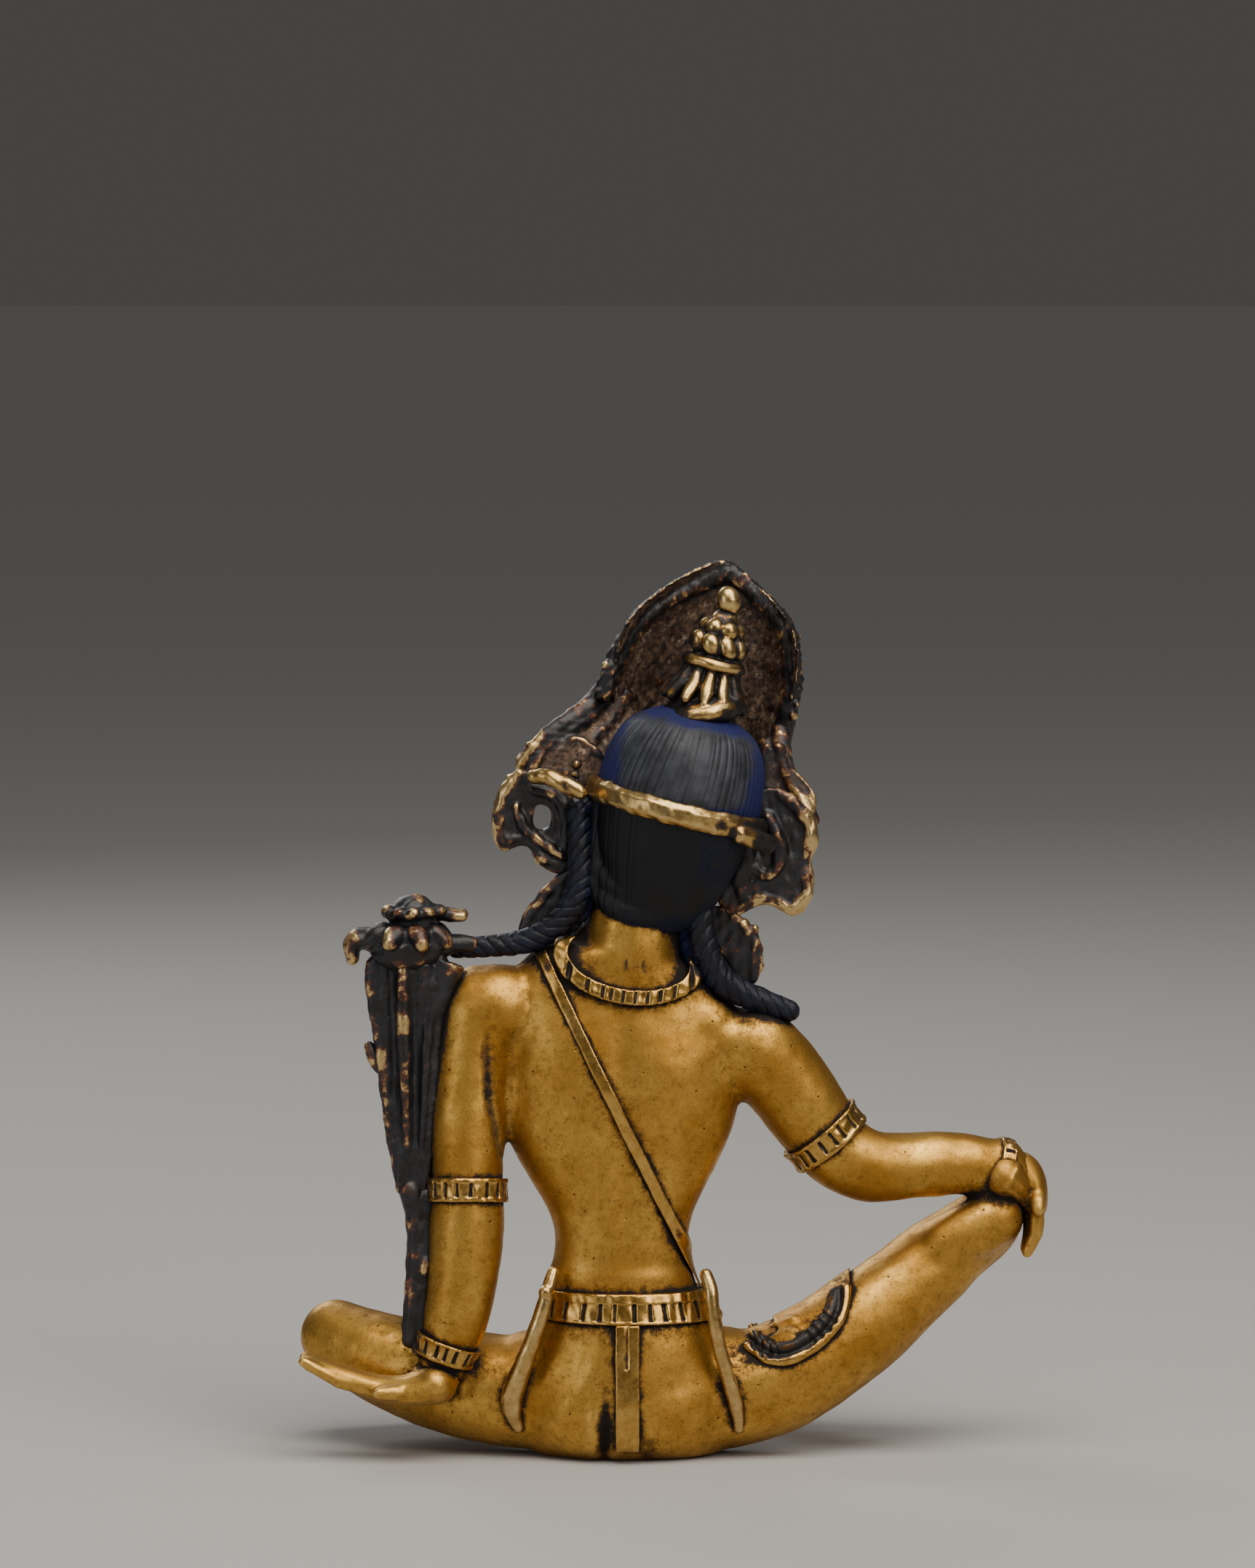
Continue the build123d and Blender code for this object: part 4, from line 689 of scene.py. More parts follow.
# a skirt of long petals, a belt, a row of scales, and a crown of beads
for turn in range(90, 450, 30):
    add_rod(form, [on_knot(turn, 3.1, 7.8), on_knot(turn, 3.7, 5.8), on_knot(turn, 4.6, 4.3),
                   on_knot(turn, 5.2, 3.3)], (0.7, 0.9, 1.05, 0.7))
for turn in range(0, 360, 60):
    add_rod(form, [on_knot(turn, 3.5, 8.6), on_knot(turn + 30, 4.0, 8.5), on_knot(turn + 60, 3.5, 8.6)],
            (0.85, 0.9, 0.85))
for turn in range(72, 432, 45):
    add_ball(form, on_knot(turn, 2.75, 11.0), (1.3, 1.25, 1.75), KNOT_LEAN)
for turn in range(58, 418, 60):
    add_ball(form, on_knot(turn, 1.75, 13.2), (1.4, 1.35, 1.4), KNOT_LEAN)
knot = cast(form, "brass_chignon", 0.15, 3)
spots, outward = skin_of(knot)
rise = (spots - np.array(knot_foot)) @ np.array(knot_up)
across = np.abs((spots - np.array(knot_foot)) @ np.array(knot_side) + 0.2)
chase(knot, lambda spots, outward: 0.07 * ripple(spots, 2.6, 75))
mark(knot, "film", 0.28 + 0.5 * np.clip((across - 2.9) / 0.9, 0, 1)
     + (rise < 3.4) * (0.5 - 0.75 * np.exp(-((across - 0.6) / 1.7) ** 2)))
finish_piece(knot, brass, "chignon")

form = bmesh.new()
add_ball(form, on_knot(0, 0, 17.2), (1.6, 1.55, 2.05), KNOT_LEAN)
add_rod(form, [on_knot(0, 0, 17.2), on_knot(270, 4.0, 16.8)], (1.0, 1.1))
add_rod(form, [on_knot(0, 0, 15.4), on_knot(0, 0, 14.2)], (0.9, 1.1))
cast_piece(form, "brass_jewel", 0.14, 3, (), brass, "crown_finial")

# ---------------------------------------------------------------- crown
crown_seat = chin + face_up * 17.0 + Vector((-0.6, 0, -0.2))
CROWN_LEAN = 10
crown_up = Vector((-sin(radians(CROWN_LEAN)), 0, cos(radians(CROWN_LEAN))))
crown_side = Vector((cos(radians(CROWN_LEAN)), 0, sin(radians(CROWN_LEAN))))


def hood_radius(rise):
    """The hood's radius in mm, fullest a quarter of the way up."""
    stops = ((-2.0, 13.95), (8.4, 15.05), (20.0, 13.95), (34.2, 10.15))
    for (low, small), (high, large) in zip(stops, stops[1:]):
        if rise <= high:
            return small + (large - small) * (rise - low) / (high - low)
    return stops[-1][1]


def on_hood(x, z, lift=0.0):
    """The place on the hood that lies behind the point x, z of the front plane."""
    away = Vector((x, 0, z)) - Vector((crown_seat.x, 0, crown_seat.z))
    across, rise = away.dot(crown_side), away.dot(crown_up)
    radius = hood_radius(rise) + lift
    depth = sqrt(max(radius * radius - across * across, 1.0))
    return Vector((x, crown_seat.y - depth, z))


edge = [(8.9, 97.7), (5.4, 99.6), (3.4, 102.2), (2.4, 105.4), (1.0, 108.6), (-1.4, 112.2), (-3.8, 114.6),
        (-7.2, 116.5), (-10.2, 117.7), (-13.1, 118.9), (-16.0, 117.9), (-18.3, 115.6), (-20.4, 113.2),
        (-22.0, 109.8), (-22.5, 105.6), (-22.2, 101.2), (-21.2, 96.6), (-20.2, 91.2)]


def on_crown(turn, rise, lift=0.0):
    """A place on the outside of the hood: turn in degrees from its front, rise up it in mm."""
    radius = hood_radius(rise) + lift
    return (crown_seat + crown_side * (radius * sin(radians(turn))) + crown_up * rise
            - Vector((0, radius * cos(radians(turn)), 0)))


form = cad_copy("crown_plate", "crown_rim")
rim = [on_hood(x, z, -0.6) for x, z in edge[2:]]
inner_rim = [spot + (on_hood(-9.5, 104) - spot).normalized() * 0.9 + Vector((0, 0.6, 0)) for spot in rim]
add_rod(form, rim, [1.15] * len(rim))
add_rod(form, [(outer + inner) / 2 for outer, inner in zip(rim, inner_rim)], [1.2] * len(rim))
add_rod(form, inner_rim, [0.95] * len(rim))
dice = np.random.default_rng(81)
for start, end in zip(rim, rim[1:]):
    steps = max(1, round((end - start).length / 1.1))
    for step in range(steps):
        spot = start.lerp(end, (step + dice.uniform(0.3, 0.7)) / steps)
        outer = (spot - on_hood(-9.5, 104)).normalized()
        size = dice.uniform(0.45, 0.85)
        add_ball(form, spot + outer * dice.uniform(0.5, 0.85) + Vector((0, dice.uniform(-0.3, 0.6), 0)),
                 (size, size, size * 0.9))
# relief on the front: a beaded diadem, petals round the stone, flame scrolls and rosettes
for turn in range(-84, 85, 6):
    add_ball(form, on_crown(turn, 2.0, 0.45), (0.8, 0.8, 0.8))
for rise in (0.6, 3.5):
    add_rod(form, [on_crown(turn, rise, 0.35) for turn in range(-88, 89, 11)], [0.6] * 17)
for step in range(12):
    turn = radians(30 * step)
    add_ball(form, on_crown(-0.4 + 16.0 * sin(turn), 11.0 + 5.2 * cos(turn), 0.35), (1.05, 0.95, 1.05))
for side in (-1, 1):
    for route in (((12, 17.5), (22, 20.5), (33, 18.5), (37, 14.0), (31, 11.0), (26, 13.5)),
                  ((5, 20.5), (14, 26.0), (25, 25.5), (29, 21.5), (24, 20.0)),
                  ((20, 7.0), (32, 5.6), (42, 8.5), (42, 12.5), (36, 12.0))):
        add_rod(form, [on_crown(side * turn, rise, 0.4) for turn, rise in route],
                np.linspace(0.95, 0.6, len(route)))
    for rise in (7.5, 15.0, 22.0):
        add_ball(form, on_crown(side * (52 - rise * 0.5), rise, 0.45), (1.2, 1.2, 1.2))
        for step in range(6):
            turn = radians(60 * step)
            add_ball(form, on_crown(side * (52 - rise * 0.5) + 7 * sin(turn), rise + 1.8 * cos(turn), 0.35),
                     (0.7, 0.7, 0.7))
for rise, size in ((19.6, 1.5), (23.4, 1.3), (26.8, 1.1), (29.6, 0.9)):
    add_ball(form, on_crown(0, rise, 0.4), (size * 0.8, size * 0.7, size * 1.3), 10)
# the leaf comes to a soft point
for corner in form.verts:
    high = max(0.0, corner.co.z / MM - 110.0)
    middle_x = -12.6 - 0.1 * high
    corner.co.x = (middle_x + (corner.co.x / MM - middle_x) * (1 - 0.0042 * high * high)) * MM
crown = cast(form, "black_crown", 0.24, 3)


def turned_to(piece, middle):
    """How squarely each point of the skin faces the crown's middle, from 0 to 1."""
    spots, outward = skin_of(piece)
    toward = np.array(middle) - spots
    toward /= np.linalg.norm(toward, axis=1)[:, None]
    return np.clip((toward * outward).sum(axis=1) * 2.0, 0, 1)


spots = skin_of(crown)[0]
off_rim = np.min([np.linalg.norm(spots - np.array(place), axis=1)
                  for start, end in zip(inner_rim, inner_rim[1:]) for place in (start, start.lerp(end, 0.5))],
                 axis=0)
inside = turned_to(crown, crown_seat + crown_up * 14) * np.clip((off_rim - 1.5) / 0.6, 0, 1)
mark(crown, "inside", inside)
chase(crown, lambda spots, outward: inside * 0.16 * ripple(spots, 3.4, 82) + 0.1 * ripple(spots, 1.5, 83)
      + 0.07 * ripple(spots, 0.9, 87))
finish_piece(crown, black, "crown_plate", "crown_rim")

form = cad_copy("crown_gem")
cast_piece(form, "brass_crown_gem", 0.16, 3, (), brass, "crown_gem")

# side leaves of the crown
wing_edge = [(2.6, 104.4), (3.6, 101.4), (6.2, 99.2), (9.2, 97.4), (12.0, 95.6), (13.8, 93.6), (13.2, 91.6)]
form = bmesh.new()
add_plate(form, [(5.6, 96.4), (8.6, 96.2), (12.0, 94.8), (13.9, 93.2), (13.6, 91.2), (10.6, 90.4),
                 (6.4, 89.6), (2.6, 90.4), (2.4, 92.6)], -3.0, 1.9)
for route in (
        ((2.4, -10.8, 103.6), (3.4, -8.2, 100.8), (6.0, -5.0, 98.4), (9.8, -3.4, 96.4), (12.8, -2.8, 93.6),
         (12.6, -2.6, 91.6)),
        ((0.6, -11.0, 101.6), (2.6, -7.6, 98.2), (5.4, -4.6, 95.6), (8.8, -3.4, 94.0), (11.2, -3.0, 91.8)),
        ((-0.2, -10.6, 98.6), (2.2, -7.0, 95.4), (5.0, -4.4, 93.0), (8.4, -3.2, 91.6)),
        ((0.8, -7.0, 94.6), (3.4, -4.8, 92.0), (6.0, -3.4, 90.2))):
    add_rod(form, route, [1.45] * len(route))
add_rod(form, [(2.6, -9.2, 104.6), (4.0, -7.2, 101.6), (6.8, -4.6, 99.4), (9.8, -3.2, 97.4),
               (12.4, -2.6, 95.4), (14.0, -2.4, 93.2)], (0.9, 1.2, 1.25, 1.15, 1.1, 1.15))
for x, y, z in ((12.9, -2.5, 95.4), (14.3, -2.4, 92.6), (10.6, -3.0, 97.3), (7.9, -4.0, 98.9),
                (5.0, -6.2, 100.9)):
    add_ball(form, (x, y, z), (0.9, 0.85, 0.75))
wing = cast(form, "black_crown_wing_left", 0.22, 3)
spots, outward = skin_of(wing)
off_rim = np.min([np.hypot(spots[:, 0] - x, spots[:, 2] - z) for start, end in zip(wing_edge, wing_edge[1:])
                  for x, z in (start, (Vector(start) + Vector(end)) / 2)], axis=0)
inside = np.clip((off_rim - 1.5) / 0.7, 0, 1) * np.clip(outward[:, 1] * 2, 0, 1)
mark(wing, "inside", inside)
chase(wing, lambda spots, outward: 0.12 * ripple(spots, 3.0, 84) + 0.07 * ripple(spots, 1.3, 85))
finish_piece(wing, black, "crown_wing_left")
form = cad_copy("crown_wing_right")
for route in (((-20.6, -8.0, 97.0), (-20.8, -5.0, 93.0), (-22.4, -3.0, 89.4), (-24.0, -2.4, 86.4)),
              ((-18.8, -7.6, 95.0), (-18.8, -4.6, 91.0), (-20.0, -2.8, 87.6))):
    add_rod(form, route, [1.4] * len(route))
add_plate(form, [(-20.2, 94.6), (-21.2, 91.0), (-23.6, 88.6), (-25.0, 85.6), (-23.0, 84.4), (-19.0, 85.4),
                 (-16.6, 88.0), (-17.4, 91.6)], -3.0, 1.6)
add_edging(form, [(-20.4, 95.0), (-20.9, 91.4), (-23.4, 88.4), (-24.9, 85.4)], -2.6, (0.9, 1.0, 1.1, 1.0))
wing = cast(form, "black_crown_wing_right", 0.22, 3)
mark(wing, "inside", 0.3 * turned_to(wing, (-20, 20, 90)))
chase(wing, lambda spots, outward: 0.14 * ripple(spots, 3.0, 86))
finish_piece(wing, black, "crown_wing_right")

# ---------------------------------------------------------------- bows and ribbons
left_bow = [(14.6, 92.2), (16.6, 90.2), (17.6, 87.4), (18.0, 84.4), (16.9, 81.6), (15.4, 82.3), (13.9, 82.6),
            (12.7, 82.4), (12.2, 80.2), (10.2, 78.9), (7.6, 78.9), (6.9, 82.5), (6.9, 87.0), (8.4, 90.2),
            (11.6, 91.6)]
form = bmesh.new()
add_plate(form, left_bow, 0.6, 2.2,
          [[(13.1, 86.2), (12.6, 88.0), (11.0, 88.2), (9.7, 86.9), (9.9, 84.6), (11.6, 83.8), (13.0, 84.6)]])
add_edging(form, [(14.4, 91.8), (16.2, 89.8), (17.0, 87.2), (17.1, 84.6), (16.2, 82.6)], 1.2,
           (0.75, 1.1, 1.0, 0.9, 0.8))
add_edging(form, [(14.9, 87.4), (14.4, 85.4), (12.6, 83.4), (10.4, 82.0), (8.6, 80.6)], 1.7,
           (0.6, 0.85, 0.8, 0.6))
add_edging(form, [(12.6, 89.8), (10.2, 89.4), (8.6, 87.6), (8.2, 84.6), (8.4, 82.2)], 1.5,
           (0.8, 0.9, 0.8, 0.6))
add_edging(form, [(16.4, 82.8), (14.4, 83.4), (12.9, 83.0), (12.0, 81.0), (10.2, 79.8), (8.4, 79.6)], 1.4,
           (0.7, 0.6, 0.6, 0.75, 0.6))
for x, z, size in ((17.3, 87.9, 0.7), (17.4, 84.2, 0.65), (15.6, 91.0, 0.75)):
    add_ball(form, (x, 0.8, z), (size, size * 1.2, size * 1.3))
cast_piece(form, "black_left_bow", 0.2, 3, ((0.12, 2.8, 91), (0.06, 1.1, 92)), black, "bow_left")

right_bow = [(-18.0, 89.6), (-20.9, 89.6), (-23.6, 87.4), (-25.2, 84.8), (-25.2, 82.2), (-24.0, 80.2),
             (-24.7, 77.6), (-24.6, 75.4), (-23.4, 73.7), (-21.6, 72.9), (-20.2, 74.2), (-18.6, 74.8),
             (-16.8, 74.2), (-14.6, 72.9), (-12.9, 73.4), (-12.3, 76.4), (-12.3, 80.2), (-13.4, 84.4),
             (-15.4, 88.0)]
form = bmesh.new()
add_plate(form, right_bow, 0.6, 2.2,
          [[(-18.0, 78.8), (-18.4, 79.7), (-19.4, 79.6), (-19.9, 78.8), (-19.4, 78.0), (-18.5, 77.9)]])
add_edging(form, [(-20.2, 89.2), (-22.8, 87.4), (-24.4, 84.8), (-24.4, 82.2), (-23.2, 80.2)], 1.2,
           (0.8, 1.2, 1.1, 1.0, 0.7))
add_edging(form, [(-23.4, 79.8), (-24.0, 77.4), (-23.9, 75.4), (-22.8, 74.2), (-21.4, 73.8), (-20.2, 75.0)],
           1.2, (0.7, 1.0, 1.1, 0.9, 0.7))
add_edging(form, [(-20.0, 75.2), (-17.8, 75.6), (-15.8, 74.6), (-14.0, 73.8)], 1.2, (0.6, 0.8, 0.8, 0.8))
add_edging(form, [(-18.8, 86.0), (-20.0, 83.6), (-20.6, 81.0), (-19.9, 78.9), (-18.2, 77.9), (-16.8, 79.2)],
           1.6, (1.0, 1.2, 0.9, 0.7, 0.8))
add_edging(form, [(-15.2, 85.6), (-15.6, 82.0), (-15.0, 78.6), (-15.4, 75.8)], 1.6, (1.6, 1.9, 1.6, 1.0), 0.6)
cast_piece(form, "black_right_bow", 0.2, 3, ((0.14, 2.8, 93), (0.06, 1.1, 94)), black, "bow_right")

form = bmesh.new()
add_plate(form, [(6.2, 78.6), (8.4, 78.8), (10.4, 76.9), (12.4, 74.9), (13.9, 72.4), (14.6, 69.6),
                 (12.6, 69.6), (9.6, 71.8), (7.2, 75.0)], 0.9, 1.4)
add_edging(form, [(8.4, 78.0), (10.6, 76.0), (12.6, 73.8), (13.8, 71.0)], 1.2, (0.5, 0.75, 0.7, 0.5))
cast_piece(form, "black_left_ribbon", 0.2, 3, ((0.14, 2.2, 95),), black, "ribbon_left")

form = bmesh.new()
add_plate(form, [(-11.2, 74.2), (-14.0, 73.2), (-16.6, 71.4), (-17.4, 69.4), (-17.8, 67.4), (-17.5, 65.4),
                 (-16.9, 63.7), (-15.0, 64.4), (-13.2, 67.0), (-11.4, 70.4)], 0.9, 1.4)
add_edging(form, [(-13.6, 72.8), (-15.8, 71.4), (-17.0, 69.2), (-17.1, 66.8), (-16.6, 64.4)], 1.1,
           (0.6, 0.8, 0.75, 0.8, 0.6))
for x, z in ((-16.7, 70.9), (-17.5, 68.4), (-17.5, 66.0)):
    add_ball(form, (x, 1.0, z), (0.75, 0.7, 0.85))
cast_piece(form, "black_right_ribbon", 0.2, 3, ((0.14, 2.2, 96),), black, "ribbon_right")

# ---------------------------------------------------------------- sash, pleat and hems
form = bmesh.new()
add_rod(form, [(9.9, 7.2, 25.6), (10.5, 8.0, 23.6), (11.2, 8.6, 21.0), (12.4, 8.4, 17.2), (14.0, 7.8, 13.0),
               (15.3, 7.0, 9.6), (15.6, 6.0, 6.9), (14.6, 5.2, 4.4)],
        (0.8, 1.05, 1.05, 1.15, 1.4, 1.6, 1.45, 0.8))
add_ball(form, (10.9, 8.6, 23.0), (1.05, 0.9, 1.0))
cast_piece(form, "brass_sash_left", 0.18, 6, ((0.06, 3.6, 101),), brass, "sash_tail_left")
form = bmesh.new()
add_rod(form, [(-10.5, 7.2, 25.2), (-11.2, 8.2, 23.4), (-11.3, 8.7, 21.2), (-11.7, 8.8, 18.4),
               (-12.4, 8.5, 15.0), (-13.5, 7.8, 11.2), (-14.7, 6.8, 7.2), (-14.9, 5.6, 4.4)],
        (0.85, 1.15, 0.9, 1.05, 1.0, 1.05, 1.05, 0.7))
add_ball(form, (-11.9, 8.5, 20.1), (0.85, 0.85, 0.85))
cast_piece(form, "brass_sash_right", 0.18, 6, ((0.06, 3.6, 102),), brass, "sash_tail_right")

pleat = cast(cad_copy("back_pleat"), "brass_back_pleat", 0.17, 4)
chase(pleat, lambda spots, outward: 0.07 * ripple(spots, 2.8, 103)
      - 0.16 * np.exp(-((spots[:, 0] - 0.05) / 0.25) ** 2) * (spots[:, 2] > 13) * (outward[:, 1] > 0.4))
finish_piece(pleat, gilt_brass, "back_pleat")


def tree_of(piece):
    """The piece's skin in mm, ready to be met by a straight line."""
    piece.data.calc_loop_triangles()
    thirds = [tuple(third.vertices) for third in piece.data.loop_triangles]
    return BVHTree.FromPolygons(skin_of(piece)[0].tolist(), thirds, all_triangles=True)


trees = [tree_of(body)]


def on_skin(x, z, side=1, lift=0.0):
    """The place on the body or its cloth at x, z in mm, on the back for side 1 and the front for side -1."""
    hits = [tree.ray_cast((x, 60 * side, z), (0, -side, 0))[:2] for tree in trees]
    hits = [(hit, facing) for hit, facing in hits if hit is not None]
    if not hits:
        return None
    hit, facing = max(hits, key=lambda pair: pair[0].y * side)
    return hit + facing * lift


# the thigh cloth, whose end at the hip slopes down into the body
form = cad_copy("dhoti_right")
for height in (19.0, 17.7, 16.4, 15.1):
    route = [on_skin(x, height + rise, 1, lift)
             for x, rise, lift in ((-22.4, 0.5, -0.1), (-20.0, 0.0, -0.5), (-17.6, -0.5, -1.5))]
    route = [place for place in route if place]
    if len(route) > 1:
        add_rod(form, route, [1.0] * len(route))
cloth = cast_piece(form, "gilt_thigh_cloth", 0.22, 14, (), gilt, "dhoti_right")
trees.append(tree_of(cloth))

hem_line = [(-28.4, 24.6), (-29.4, 22.6), (-29.4, 20.2), (-27.6, 17.2), (-24.6, 14.7), (-21.2, 13.2),
            (-18.2, 13.5), (-16.2, 15.0), (-14.6, 17.8), (-13.7, 20.2)]
dark_line = [(-27.2, 23.9), (-27.9, 22.0), (-27.6, 20.2), (-26.2, 18.2), (-23.8, 16.2), (-21.0, 14.9),
             (-18.6, 15.1), (-17.0, 16.4), (-15.8, 18.0), (-14.9, 20.0)]
form = bmesh.new()
for side in (1, -1):
    for line, radius, lift in ((hem_line, 0.75, 0.0), (dark_line, 0.85, -0.1)):
        route = [on_skin(x, z, side, lift) for x, z in line]
        route = [place for place in route if place]
        add_rod(form, route, [radius] * len(route))
# the dark band turns back along the top of the thigh
hook = [on_skin(x, z - 1.3, 1, -0.2) for x, z in ((-22.6, 21.0), (-24.4, 22.6), (-26.4, 24.0))]
if all(hook):
    add_rod(form, [place + UP * 1.0 for place in hook] + [on_skin(-27.4, 22.6, 1, 0.0)],
            (0.6, 0.8, 0.85, 0.8))
top = [on_skin(-28.4, 24.6, 1, 0.0), on_skin(-28.4, 24.6, -1, 0.0)]
if all(top):
    add_rod(form, [top[0], (top[0] + top[1]) / 2 + UP * 0.4, top[1]], (0.75, 0.9, 0.75))
hem = cast(form, "brass_thigh_hem", 0.18, 5)
spots, outward = skin_of(hem)
middles = [((x0 + x1) / 2, (z0 + z1) / 2) for (x0, z0), (x1, z1) in zip(dark_line, dark_line[1:])]
off_line = np.min([np.hypot(spots[:, 0] - x, spots[:, 2] - z) for x, z in dark_line + middles], axis=0)
run = np.arctan2(spots[:, 2] - 25.0, spots[:, 0] + 18.0) * 9.0
cuts = np.exp(-((run - np.round(run)) / 0.17) ** 2) * (np.sin(run * 0.8) > -0.2) * (off_line < 1.35)
chase(hem, lambda spots, outward: -0.25 * cuts + 0.08 * ripple(spots, 3.0, 104))
mark(hem, "cut", cuts)
mark(hem, "film", 0.62 * np.clip((1.5 - off_line) / 0.4, 0, 1))
finish_piece(hem, gilt_brass, "hem_band_right")

# ---------------------------------------------------------------- lotus
form = cad_copy("lotus_leaf")
# the web cast between the leaf and the arm
add_plate(form, [(34.6, 67.4), (34.0, 62.0), (33.0, 56.0), (32.2, 49.0), (31.2, 42.0), (30.2, 36.4),
                 (27.4, 35.6), (26.6, 40.0), (26.2, 48.0), (25.6, 56.0), (24.8, 63.0), (24.4, 68.0),
                 (29.0, 68.8)], 4.2, 3.0, edge=0.8)
add_rod(form, [(29.9, 6.4, 68.0), (29.9, 6.8, 60.0), (29.7, 6.4, 51.0), (29.4, 5.6, 42.0)],
        (0.9, 1.05, 0.85, 0.5))
add_rod(form, [(25.9, 5.6, 64.4), (26.6, 5.8, 58.0), (27.2, 5.6, 49.0), (27.8, 5.4, 40.6)],
        (0.7, 0.75, 0.7, 0.6))
add_rod(form, [(34.1, 4.6, 66.6), (33.4, 4.8, 59.0), (32.3, 5.0, 50.0), (31.1, 5.0, 40.6), (30.2, 5.0, 36.6)],
        (0.85, 0.75, 0.65, 0.6, 0.8))
leaf = cast(form, "black_lotus_leaf", 0.24, 3)


def fluting(spots, outward):
    x, y, z = spots.T
    back = (outward[:, 1] > 0.0) * np.clip((z - 38) / 6, 0, 1)
    left = np.exp(-((x - 31.7 + 0.03 * (66 - z)) / 0.55) ** 2)
    right = np.exp(-((x - 28.2) / 0.5) ** 2)
    return -0.5 * (left + right) * back + 0.1 * ripple(spots, 3.0, 111) + 0.05 * ripple(spots, 1.2, 112)


chase(leaf, fluting)
finish_piece(leaf, black, "lotus_leaf")

form = bmesh.new()
add_ball(form, (29.4, 3.8, 68.0), (5.0, 4.4, 2.6))
for turn in range(20, 380, 45):
    out = Vector((cos(radians(turn)), sin(radians(turn)), 0))
    root, tip = Vector((29.2, 3.8, 68.4)) + out * 2.6, Vector((29.2, 3.8, 70.6)) + out * 4.4
    add_rod(form, [root, (root + tip) / 2 + UP * 0.6, tip, tip + out * 0.9 - UP * 0.8], (1.9, 2.2, 1.6, 1.1))
# the outermost petal hangs over
add_rod(form, [(32.6, 3.8, 69.2), (35.2, 3.8, 70.4), (37.0, 3.8, 69.2), (36.7, 3.8, 67.2)],
        (1.7, 1.7, 1.4, 0.9), 1.5)
add_rod(form, [(24.8, 3.8, 69.0), (22.6, 3.6, 69.6), (20.9, 3.4, 69.2)], (1.6, 1.3, 1.1))
cast_piece(form, "black_lotus_flower", 0.22, 3, ((0.12, 2.6, 113),), black, "lotus_flower")

form = bmesh.new()
add_rod(form, [(28.8, 3.7, 69.4), (28.7, 3.7, 71.0), (28.6, 3.7, 72.6)], (2.4, 2.8, 3.4))
add_ball(form, (28.4, 3.7, 73.4), (4.4, 4.2, 1.2), 4)
for turn in range(0, 360, 30):
    add_ball(form, (28.4 + 3.6 * cos(radians(turn)), 3.7 + 3.5 * sin(radians(turn)), 73.7), (1.0, 1.0, 0.75))
for turn in range(0, 360, 60):
    add_ball(form, (28.4 + 1.7 * cos(radians(turn)), 3.7 + 1.7 * sin(radians(turn)), 74.0), (0.6, 0.6, 0.6))
add_rod(form, [(25.2, 3.7, 73.4), (23.4, 3.8, 73.0), (22.0, 3.9, 73.1)], (1.1, 0.95, 0.9), 1.6)
cast_piece(form, "black_lotus_pod", 0.2, 3, ((0.12, 2.2, 114),), black, "lotus_pod")

form = bmesh.new()
add_rod(form, [(29.0, 4.9, 36.4), (28.4, 4.8, 34.0), (28.1, 5.0, 30.0), (28.3, 5.2, 25.0), (28.8, 5.2, 20.0),
               (29.0, 5.2, 16.4)], (1.6, 1.5, 1.4, 1.4, 1.35, 1.3))
add_rod(form, [(26.8, 5.0, 33.0), (26.8, 5.2, 28.0), (27.0, 5.4, 23.0), (27.6, 5.4, 18.0), (27.9, 5.4, 14.8)],
        (0.9, 1.0, 1.0, 1.1, 0.9))
add_ball(form, (27.0, 6.2, 26.0), (0.8, 0.6, 1.6))
add_ball(form, (26.7, 4.9, 34.4), (1.6, 1.4, 2.4))
cast_piece(form, "black_lotus_stalk", 0.22, 3, ((0.1, 2.8, 115),), black, "lotus_stalk")

form = cad_copy("lotus_bud")
add_rod(form, [(33.0, 4.4, 52.6), (33.9, 4.4, 53.6), (34.5, 4.3, 55.6)], (0.8, 1.0, 0.7))
cast_piece(form, "black_lotus_bud", 0.18, 3, (), black, "lotus_bud")
